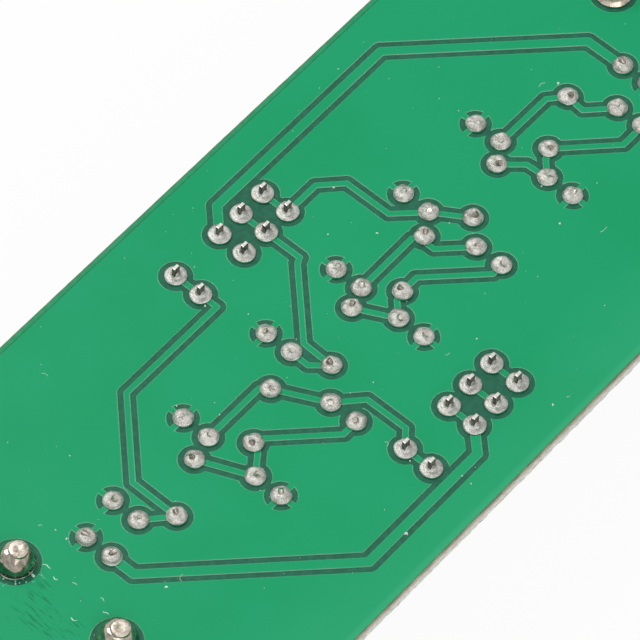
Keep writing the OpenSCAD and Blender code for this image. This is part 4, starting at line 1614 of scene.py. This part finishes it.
@dataclass
class Capacitors:
    """The dipped disc capacitors of one band and their bent leads.

    Attributes:
        band: Number of the band.
        kinds: The capacitors' places in the filter.
        power: Squareness of a disc's section.
        dent: Depth of the coating's waves as a share of the disc's size.
        wave: Length of a wave in disc radii.
        tip_lean: How far a lead's cut tip leans over, in millimetres.
        tip_drop: How far a lead is cut short at most, in millimetres.
        tip_share: Radius of a cut tip as a share of the lead's.
        bend_share: Share of a lead's length from which its points lie closer.
        skirt_share: Radius of the coating's run-down on a lead, as a share of the disc's half thickness.
        skirt_start: Height at which the run-down leaves the disc, in disc radii.
        skirt_end: Radius of the run-down's thin end in lead radii.
        seed: Seed of the leans and of the coating's waves.
    """

    band: int
    kinds: tuple[str, ...] = ("input", "middle", "trap", "output")
    power: float = 0.62
    dent: float = 0.015
    wave: float = 0.9
    tip_lean: float = 0.36
    tip_drop: float = 0.22
    tip_share: float = 0.8
    bend_share: float = 0.7
    skirt_share: float = 0.55
    skirt_start: float = 0.3
    skirt_end: float = 1.04
    seed: int = 40

    def __post_init__(self) -> None:
        """Reads the leads from the frame."""
        self.low, self.high = solids(f"band_{self.band}_capacitor_leads")
        self.places = (self.low + self.high)[:, :2] / 2
        self.lead_r = (self.high - self.low)[:, 0].mean() / 2

    def leads(self) -> Surface:
        """Sweeps wires from the discs up through the board, with the cut tips leaning over in the solder.

        Returns:
            The closed surface.
        """
        random = np.random.default_rng(self.seed + self.band)
        count = (len(self.low), 1)
        lean = random.uniform(0, FULL_TURN, count)
        reach = self.tip_lean * MM * random.uniform(0.2, 1.0, count)
        straight = np.linspace(0, self.bend_share, 4, endpoint=False)
        share = np.concatenate([straight, np.linspace(self.bend_share, 1, 7)])
        low = self.low[:, 2:]
        tip = self.high[:, 2:] - self.tip_drop * MM * random.uniform(0.3, 1.0, count)
        z = low + share * (tip - low)
        bend = leaning(z, solder_level(), tip, reach)
        x = self.places[:, :1] + np.cos(lean) * bend
        y = self.places[:, 1:] + np.sin(lean) * bend
        radius = np.append(np.ones(len(share) - 1), self.tip_share) * self.lead_r
        return loft(swept(np.stack([x, y, z], -1), radius, ALONG_X, 12))

    def disc(self, kind: str) -> Surface:
        """Makes a disc: a wavy superellipse turned round X, with a run-down of coating on each lead.

        Args:
            kind: The capacitor's place in the filter.

        Returns:
            The closed surface.
        """
        low, high = box(f"band_{self.band}_{kind}_capacitor")
        half, radius = (high - low)[:2] / 2
        middle = np.append((low + high)[:2] / 2, low[2] + radius)
        tilt, turn = latitudes(24), circle(48)
        across = half * rounded(np.sin(tilt), 2 / self.power)
        out = radius * np.abs(np.cos(tilt)) ** self.power
        rings = np.stack([across + 0 * turn, out * np.cos(turn), out * np.sin(turn)], -1)
        wave = ripple((rings + middle) / radius, self.wave, self.seed)
        body = loft((middle + rings * (1 - self.dent * (1 - np.minimum(wave, 1)))[..., None])[None])
        near = np.abs(self.places - middle[:2]).max(axis=1) < radius
        share = np.linspace(0, 1, 9)[None, :, None]
        spread = self.skirt_share * half - self.lead_r
        skirt = self.lead_r * self.skirt_end + spread * share[:, ::-1] ** 1.6
        start = middle[2] + self.skirt_start * radius
        height = start + (high[2] - start) * share
        return Surface.join([body, loft(turned(skirt, height, self.places[near], 18))])

    def build(self) -> None:
        """Builds the leads and the four discs."""
        node = f"band_{self.band}_capacitor_leads"
        add_piece(f"{node}_wires", self.leads(), [TINNED], [node], sharp_angle=40)
        for kind in self.kinds:
            node = f"band_{self.band}_{kind}_capacitor"
            add_piece(f"{node}_body", self.disc(kind), [DIPPED], [node])


@dataclass
class Coil:
    """A ring core and its winding.

    Attributes:
        name: Name of the coil, before its pieces' own names.
        turns: Number of turns.
        coating: Finish of the core.
        slot: The record's slot of the core, not used.
        gap: Bare angle of the core at the board in degrees.
        core_squareness: Power of the superellipse of the core's section.
        squareness: Power of the superellipse that a turn follows.
        turn_points: Points in a turn.
        sides: Points round the wire.
        tip_lean: How far a cut wire tip leans over, in millimetres.
        tip_drop: How far the tips are cut short, in millimetres.
        seed: Seed of the leans.
    """

    name: str
    turns: int
    coating: Finish
    slot: Slot
    gap: float = 30.0
    core_squareness: float = 5.0
    squareness: float = 6.0
    turn_points: int = 44
    sides: int = 10
    tip_lean: float = 0.34
    tip_drop: float = 0.17
    seed: int = 70

    def __post_init__(self) -> None:
        """Reads the core, the wire and the two holes of its leads from the frame."""
        low, high = box(f"{self.name}_core")
        self.middle = (low + high) / 2
        self.half, self.outer = (high - low)[:2] / 2
        core, _ = node_triangles(f"{self.name}_core")
        self.inner = np.linalg.norm((core - self.middle)[:, 1:], axis=1).min()
        self.mean, self.deep = (self.outer + self.inner) / 2, (self.outer - self.inner) / 2
        self.top, self.bottom = solder_level(), component_level()
        wire, _ = node_triangles(f"{self.name}_winding")
        through = wire[wire[:, 2] > self.bottom + 0.1 * (self.top - self.bottom)]
        left = through[:, 0] < self.middle[0]
        self.feet = [(part.min(axis=0) + part.max(axis=0)) / 2 for part in (through[left], through[~left])]
        self.tip = through[:, 2].max() - self.tip_drop * MM
        self.wire_r = np.ptp(through[left], axis=0)[1] / 2
        wide = np.array(box(f"{self.name}_winding"))[:, 0]
        self.reach = np.abs(wide - self.middle[0]).min() - self.wire_r

    def ring(self) -> Surface:
        """Makes the core: a superellipse section turned round X.

        Returns:
            The closed surface.
        """
        angle, turn = circle(40), circle(72)[:, None]
        out = self.mean + self.deep * rounded(np.cos(angle), self.core_squareness)
        across = self.half * rounded(np.sin(angle), self.core_squareness)
        rings = np.stack([across + 0 * turn, out * np.sin(turn), out * np.cos(turn)], -1)
        return loft((self.middle + rings)[None], closed=True)

    def helix(self) -> tuple[Array, Array]:
        """Winds the wire: a superellipse round the core's section that also travels round the ring.

        Returns:
            The wire's points and which way is outwards from the section at each.
        """
        gap = math.radians(self.gap)
        whole = FULL_TURN * (self.turns - 1) + 1.5 * math.pi
        share = np.linspace(0, 1, self.turn_points * self.turns)[:, None]
        angle = -math.pi / 4 - whole * share
        turn = gap / 2 + (FULL_TURN - gap) * share
        spoke = np.concatenate([0 * turn, -np.sin(turn), np.cos(turn)], 1)
        out = (self.deep + self.reach - self.half) * rounded(np.cos(angle), self.squareness)
        across = self.reach * rounded(np.sin(angle), self.squareness)
        path = self.middle + spoke * (self.mean + out) + ALONG_X * across
        return path, spoke * np.cos(angle) + ALONG_X * np.sin(angle)

    def lead(self, foot: Array, start: Array, away: Array, lean: float) -> Array:
        """Leads a wire end through the board: a curve to the hole, then straight up to a leaning tip.

        Args:
            foot: Middle of the lead's hole.
            start: End of the winding.
            away: Direction in which the wire leaves the winding.
            lean: Direction in which the tip leans, in radians.

        Returns:
            The wire's points from the winding to the tip.
        """
        hole = np.array([foot[0], foot[1], self.bottom])
        leave, arrive = start + away * 2 * self.wire_r, hole - UP * 4 * self.wire_r
        curve = bezier(start, leave, arrive, hole, 16)
        inside, outside = np.linspace(self.bottom, self.top, 4), np.linspace(self.top, self.tip, 7)
        level = np.concatenate([inside[1:], outside[1:]])
        bend = leaning(level, self.top, self.tip, self.tip_lean * MM)
        up = np.stack([hole[0] + bend * math.cos(lean), hole[1] + bend * math.sin(lean), level], 1)
        return np.concatenate([curve[1:], up])

    def winding(self) -> Surface:
        """Joins the two leads and the helix into one wire, with the parts above the board of bare copper.

        Returns:
            The closed surface.
        """
        random = np.random.default_rng(self.seed + int(1e6 * abs(self.middle[0])))
        path, outward = self.helix()
        leans = random.uniform(0, FULL_TURN, 2)
        first = self.lead(self.feet[0], path[0], unit(path[0] - path[1]), leans[0])
        last = self.lead(self.feet[1], path[-1], unit(path[-1] - path[-2]), leans[1])
        whole = np.concatenate([first[::-1], path, last])
        sides = np.tile(-ALONG_X, (len(first), 1)), np.tile(ALONG_X, (len(last), 1))
        reference = np.concatenate([sides[0], outward, sides[1]])
        surface = loft(swept(whole[None], self.wire_r, reference[None], self.sides))
        faces = (surface.triangles, surface.quads)
        level = np.concatenate([surface.points[corners][..., 2].mean(axis=1) for corners in faces])
        surface.finish = np.where(level > self.bottom, WireFace.BARE, WireFace.ENAMELLED)
        return surface

    def build(self) -> None:
        """Builds the core and the winding."""
        core, wire = f"{self.name}_core", f"{self.name}_winding"
        add_piece(f"{core}_ring", self.ring(), [self.coating], [core], sharp_angle=80)
        finishes = [ENAMEL, COPPER_TIP]
        add_piece(f"{wire}_wire", self.winding(), finishes, [wire], sharp_angle=40)


@dataclass
class Jack:
    """A coaxial jack's CAD pieces and their finishes.

    Attributes:
        side: End of the board that the jack is on.
        edge: Rounding of the housing's edges in millimetres.
        neck: Radius of a post in its solder in millimetres.
        neck_start: Share of a post's height above the board at which the neck starts.
        head: Profile of a post's dimpled head as shares of the neck's radius and drops in millimetres.
        lean: How far a post's tip leans over along X and Y, in millimetres.
    """

    side: str
    edge: float = 0.25
    neck: float = 0.8
    neck_start: float = 0.25
    head: Profile = (
        (1.0, 0.16),
        (0.98, 0.08),
        (0.93, 0.03),
        (0.84, 0.005),
        (0.5, 0.0),
        (0.2, 0.02),
        (0.05, 0.03),
    )
    lean: Pair = (0.1848, -0.21)

    def posts(self) -> Surface:
        """Turns the posts: full below the board, leaning and thinner in the solder, with a dimple on top.

        Returns:
            The closed surface.
        """
        low, high = solids(f"{self.side}_jack_posts")
        full = (high - low)[0, 0] / 2
        foot, board, top = low[0, 2], solder_level(), high[0, 2]
        neck = self.neck * MM
        share, drop = np.array(self.head).T
        radius = np.concatenate([[full, full, neck], neck * share])[None, :, None]
        shaft = [foot, board, board + self.neck_start * (top - board)]
        height = np.concatenate([shaft, top - drop * MM])[None, :, None]
        rings = turned(radius, height, (low + high)[:, :2] / 2, 40)
        rise = np.maximum(rings[..., 2:] - board, 0) / (top - board)
        rings[..., :2] += np.array(self.lean) * MM * rise
        return loft(rings)

    def build(self) -> None:
        """Builds the posts and dresses the other pieces."""
        name = f"{self.side}_jack"
        posts = f"{name}_posts"
        add_piece(f"{posts}_turned", self.posts(), [POST_TIN], [posts])
        dress_node(f"{name}_housing", JACK_PLASTIC, self.edge)
        finishes = {"barrel": NICKEL, "insulator": WHITE_PLASTIC, "contact": BRASS, "ground_pin": TINNED}
        for piece, finish in finishes.items():
            dress_node(f"{name}_{piece}", finish)


@dataclass
class Switch:
    """A slide switch's CAD pieces and their finishes.

    Attributes:
        side: Edge of the board that the switch is near.
        edge: Rounding of the sheet's and the base's edges in millimetres.
        knob_edge: Rounding of the knob's edges in millimetres.
        pin_edge: Rounding of the pins' edges in millimetres.
    """

    side: str
    edge: float = 0.12
    knob_edge: float = 0.15
    pin_edge: float = 0.07

    def build(self) -> None:
        """Dresses the pieces."""
        name = f"{self.side}_switch"
        # The pins' finish paints a highlight at the top and a dark reflection on the sides
        blades = BladeFinish("cut_blades_with_painted_light", box(f"{name}_pins")[1][2] / MM)
        dress_node(f"{name}_base", BASE_PLASTIC, self.edge)
        dress_node(f"{name}_cover", SHEET, self.edge)
        dress_node(f"{name}_knob", KNOB_PLASTIC, self.knob_edge)
        dress_node(f"{name}_pins", blades, self.pin_edge)
        dress_node(f"{name}_wipers", BRASS)


@dataclass
class Residue:
    """What soldering and handling left on the board: flux between the left posts, pale partly as a painted
    glint, and dust.

    Attributes:
        posts: Middles of the jack posts.
        streaks: Number of pale flux ridges.
        streak_length: Shortest and longest ridge in millimetres.
        streak_width: Narrowest and widest ridge in millimetres.
        streak_flat: Height of a ridge as a share of its width.
        streak_offset: Mean and spread of a ridge's place along X from the posts' middle, in millimetres.
        streak_span: Share of the way from the middle to a post over which the ridges lie.
        streak_slant: Mean and spread of how far a ridge leans along X for each millimetre along Y.
        streak_wave: Lowest and highest wave of a ridge in millimetres.
        beads: Number of pale flux beads.
        bead_ring: Least and greatest distance of a bead from a post in millimetres.
        bead_angle: Mean and spread of a bead's angle round its post in radians.
        bead_size: Least and greatest radius of a bead in millimetres.
        bead_height: Height of a bead as a share of its radius.
        specks: Number of dust specks.
        speck_size: Least radius of a speck, and how much larger it is on average, in millimetres.
        speck_height: Height of a speck as a share of its radius.
        lump: Profile of a bead or speck as shares of its radius and of its height.
        lump_spread: Spread of a lump's outline as a share of its radius.
        lump_limits: Least and greatest outline as shares of the radius.
        fibres: Number of dust fibres.
        fibre_length: Shortest and longest fibre in millimetres.
        fibre_r: Radius of a fibre in millimetres.
        fibre_lift: Height of a fibre over the mask in millimetres.
        seed: Seed of their places and sizes.
    """

    posts: Array
    streaks: int = 8
    streak_length: Range = (0.2, 0.8)
    streak_width: Range = (0.04, 0.11)
    streak_flat: float = 0.35
    streak_offset: Pair = (0.2, 1.0)
    streak_span: float = 0.62
    streak_slant: Pair = (0.16, 0.1)
    streak_wave: Range = (0.02, 0.1)
    beads: int = 30
    bead_ring: Range = (1.6, 2.2)
    bead_angle: Pair = (-2.4, 0.7)
    bead_size: Range = (0.03, 0.13)
    bead_height: float = 0.5
    specks: int = 220
    speck_size: Pair = (0.016, 0.024)
    speck_height: float = 0.8
    lump: Profile = ((0.9, 0.0), (1.0, 0.25), (0.75, 0.75), (0.35, 1.0))
    lump_spread: float = 0.3
    lump_limits: Range = (0.4, 1.6)
    fibres: int = 12
    fibre_length: Range = (0.25, 0.9)
    fibre_r: float = 0.014
    fibre_lift: float = 0.008
    seed: int = 90

    def __post_init__(self) -> None:
        """Reads the foil's sizes from the frame and picks the left posts."""
        self.low, self.high = box("solder_side_foil")
        self.top = self.high[2]
        self.left = self.posts[self.posts[:, 0] < 0]

    def ridges(self) -> Surface:
        """Lays thin wavy ridges between the left posts: sine waves along Y that are thin at both ends.

        Returns:
            The closed surface.
        """
        random = np.random.default_rng(self.seed + 3)
        count = (self.streaks, 1)
        share = np.linspace(-1, 1, 18)
        middle, reach = self.left.mean(axis=0), np.ptp(self.left[:, 1]) / 2
        run = random.uniform(*self.streak_length, count) * MM / 2
        start = random.normal(*self.streak_offset, count) * MM + middle[0]
        across = random.uniform(-self.streak_span, self.streak_span, count) * reach + middle[1]
        slant = random.normal(*self.streak_slant, count)
        wave = random.uniform(*self.streak_wave, count) * MM
        phase = random.uniform(0, FULL_TURN, count)
        x = start - slant * run * share + wave * np.sin(3 * share + phase)
        path = np.stack([x, across + run * share, np.full_like(x, self.top)], -1)
        thick = random.uniform(*self.streak_width, count) * MM / 2 * np.sqrt(1.02 - share**2)
        return loft(swept(path, thick, UP, 8, flat=self.streak_flat))

    def lumps(self, middle: Array, size: Array, tall: Array, seed: int) -> Surface:
        """Lays small uneven lumps: half ellipsoids with a wavy outline, sunk to the bottom of the foil.

        Args:
            middle: X and Y of each lump.
            size: Radius of each lump.
            tall: Height of each lump.
            seed: Seed of the outlines.

        Returns:
            The closed surface.
        """
        share, rise = np.array(self.lump).T[:, None, :, None]
        columns = 7
        noise = np.random.default_rng(seed).normal(0, 1, (len(size), 1, columns))
        outline = np.clip(1 + self.lump_spread * noise, *self.lump_limits)
        radius = size[:, None, None] * share * outline
        bottom = self.low[2]
        height = bottom + (self.top - bottom + tall[:, None, None]) * rise
        return loft(turned(radius, height, middle, columns))

    def anywhere(self, count: int, random: np.random.Generator) -> Array:
        """Gives random places on the board."""
        return random.uniform(self.low[:2], self.high[:2], (count, 2))

    def threads(self, random: np.random.Generator) -> Surface:
        """Lays short fibres: arcs of random length, turn and bend that lie on the mask.

        Args:
            random: Source of the random numbers.

        Returns:
            The closed surface.
        """
        count = (self.fibres, 1)
        share = np.linspace(-1, 1, 14)
        middle = self.anywhere(self.fibres, random)
        turn = random.uniform(0, FULL_TURN, count) + random.normal(0, 0.7, count) * share
        step = random.uniform(*self.fibre_length, count) * MM / len(share)
        x = middle[:, :1] + step * np.cumsum(np.cos(turn), axis=1)
        y = middle[:, 1:] + step * np.cumsum(np.sin(turn), axis=1)
        path = np.stack([x, y, np.full_like(x, self.top + self.fibre_lift * MM)], -1)
        return loft(swept(path, self.fibre_r * MM, UP, 6))

    def build(self) -> None:
        """Lays the flux, specks and fibres."""
        random = np.random.default_rng(self.seed)
        angle = random.normal(*self.bead_angle, (self.beads, 1))
        away = random.uniform(*self.bead_ring, (self.beads, 1)) * MM
        ring = away * np.concatenate([np.cos(angle), np.sin(angle)], 1)
        places = self.left[np.arange(self.beads) % len(self.left)] + ring
        size = random.uniform(*self.bead_size, self.beads) * MM
        beads = self.lumps(places, size, size * self.bead_height, self.seed + 2)
        flux = Surface.join([beads, self.ridges()])
        least, mean = self.speck_size
        grain = random.exponential(mean, self.specks) * MM + least * MM
        spots = self.anywhere(self.specks, random)
        specks = self.lumps(spots, grain, grain * self.speck_height, self.seed + 4)
        # The flux's pale finish is partly a painted glint
        add_piece("flux_with_painted_glints", flux, [FLUX_AND_GLINT], sharp_angle=80)
        add_piece("dust_specks", specks, [DUST], sharp_angle=80)
        add_piece("dust_fibres", self.threads(random), [DUST], sharp_angle=80)


@dataclass(frozen=True)
class View:
    """A place from which something faces the board.

    Attributes:
        azimuth: Turn round the board in degrees, from the front towards the right.
        elevation: Height above the horizon in degrees.
        distance: Distance from the point that is faced, in millimetres.
        roll: Turn round the line of sight in degrees.
    """

    azimuth: float
    elevation: float
    distance: float
    roll: float = 0.0

    def matrix(self, aim: Array) -> Matrix:
        """Works out the placing: right, up and back from the angles, and the aim moved back by the distance.

        Args:
            aim: The point that is faced, in metres.

        Returns:
            The matrix of the object that stands there.
        """
        a, e, r = (math.radians(angle) for angle in (self.azimuth, self.elevation, self.roll))
        back = np.array([math.sin(a) * math.cos(e), -math.cos(a) * math.cos(e), math.sin(e)])
        level = np.array([math.cos(a), math.sin(a), 0.0])
        right = level * math.cos(r) + np.cross(back, level) * math.sin(r)
        placing = np.eye(4)
        placing[:3] = np.stack([right, np.cross(back, right), back, aim + back * self.distance * MM], 1)
        return Matrix(placing.tolist())


@dataclass(frozen=True)
class Lamp:
    """A square soft light that faces the board.

    Attributes:
        name: Name of the light.
        view: Where it stands.
        size: Its width in metres.
        power: Its power in watts.
    """

    name: str
    view: View
    size: float
    power: float

    def build(self) -> None:
        """Adds the light, which the camera doesn't see."""
        data = bpy.data.lights.new(self.name, "AREA")
        data.shape = "SQUARE"
        data.size = self.size
        data.energy = self.power
        made = bpy.data.objects.new(self.name, data)
        made.matrix_world = self.view.matrix(np.zeros(3))
        made.visible_camera = False
        bpy.context.scene.collection.objects.link(made)


@dataclass
class Studio:
    """Floor, soft lights, white surroundings and the camera.

    Attributes:
        aim: Point of the solder side that the camera looks at, in millimetres.
        view: Where the camera stands.
        lens: Focal length in millimetres.
        sensor: Width of the sensor in millimetres.
        clip: Nearest and farthest distance that the camera sees, in metres.
        lamps: The lights.
        floor_size: Width of the floor in metres.
        ambient: Strength of the surrounding light.
    """

    aim: Pair = (-3.807, 1.771)
    view: View = View(-51.452, 57.434, distance=460.35, roll=2.582)
    lens: float = 338.93
    sensor: float = 36.0
    clip: Range = (0.01, 20.0)
    lamps: tuple[Lamp, ...] = (
        Lamp("key", View(175.0, 58.0, distance=900.0), size=0.4, power=3.0),
        Lamp("fill", View(-30.0, 50.0, distance=900.0), size=0.7, power=2.7),
    )
    floor_size: float = 12.0
    ambient: float = 0.45

    def camera(self) -> None:
        """Sets the camera, which looks at a point on the solder side."""
        data = bpy.data.cameras.new("camera")
        data.lens = self.lens
        data.sensor_width = self.sensor
        data.clip_start, data.clip_end = self.clip
        made = bpy.data.objects.new("camera", data)
        made.matrix_world = self.view.matrix(np.append(np.array(self.aim) * MM, solder_level()))
        bpy.context.scene.collection.objects.link(made)
        bpy.context.scene.camera = made

    def floor(self) -> None:
        """Lays the floor as one flat square under the part."""
        corner = np.array([[-1, -1, 0], [1, -1, 0], [1, 1, 0], [-1, 1, 0]]) * self.floor_size / 2
        square = Surface(corner, np.array([[0, 1, 2, 3]]), NO_TRIANGLES, np.zeros(1))
        made = bpy.data.objects.new("floor", square.mesh("floor", 30))
        made.data.materials.append(FLOOR.material())
        bpy.context.scene.collection.objects.link(made)

    def surroundings(self) -> None:
        """Makes the world white for cameras and mirrors, and a plain soft light for the rest."""
        world = bpy.data.worlds.new("studio")
        world.use_nodes = True
        bpy.context.scene.world = world
        nodes = Nodes(world.node_tree)
        strength = self.ambient + (1 - self.ambient) * nodes.seen_rays()
        glow = nodes.node("ShaderNodeBackground", inputs={"Color": WHITE, "Strength": strength})
        nodes.add("ShaderNodeOutputWorld", inputs={"Surface": glow})

    def build(self) -> None:
        """Sets up the whole studio."""
        bpy.context.scene.view_settings.view_transform = "Standard"
        self.camera()
        self.floor()
        self.surroundings()
        for lamp in self.lamps:
            lamp.build()
        log.info("studio: %d lights", len(self.lamps))


def main() -> None:
    """Builds the studio and every sub-assembly."""
    logging.basicConfig(level=logging.INFO, format="%(message)s")
    Studio().build()
    joints = SolderJoints()
    posts = joints.posts.middle
    Laminate().build()
    front = box("board")[0][1] / MM
    patch = tuple(posts[posts[:, 0] < 0].mean(axis=0) / MM + FLUX_OFFSET)
    # The solder side's mask carries painted light towards the front edge as well as its flux strokes
    fluxed = FluxMaskPaintedLightFinish("fluxed_mask_with_painted_light_on_copper", *MASK_SHADES, front=front, patch=patch)
    Foil("solder_side_foil", Side.SOLDER, joints.pads(), fluxed).build()
    Foil("component_side_foil", Side.COMPONENT, joints.pads()).build()
    joints.build()
    red, yellow = (RED_COAT, Slot.CORE_RED), (YELLOW_COAT, Slot.CORE_YELLOW)
    for band, turns, (coating, slot) in ((1, 17, red), (2, 14, yellow), (3, 12, yellow)):
        Capacitors(band).build()
        for kind in ("input", "trap"):
            Coil(f"band_{band}_{kind}_coil", turns, coating, slot).build()
    for side in ("left", "right"):
        Jack(side).build()
    for side in ("rear", "front"):
        Switch(side).build()
    Residue(posts).build()


if __name__ == "__main__":
    main()
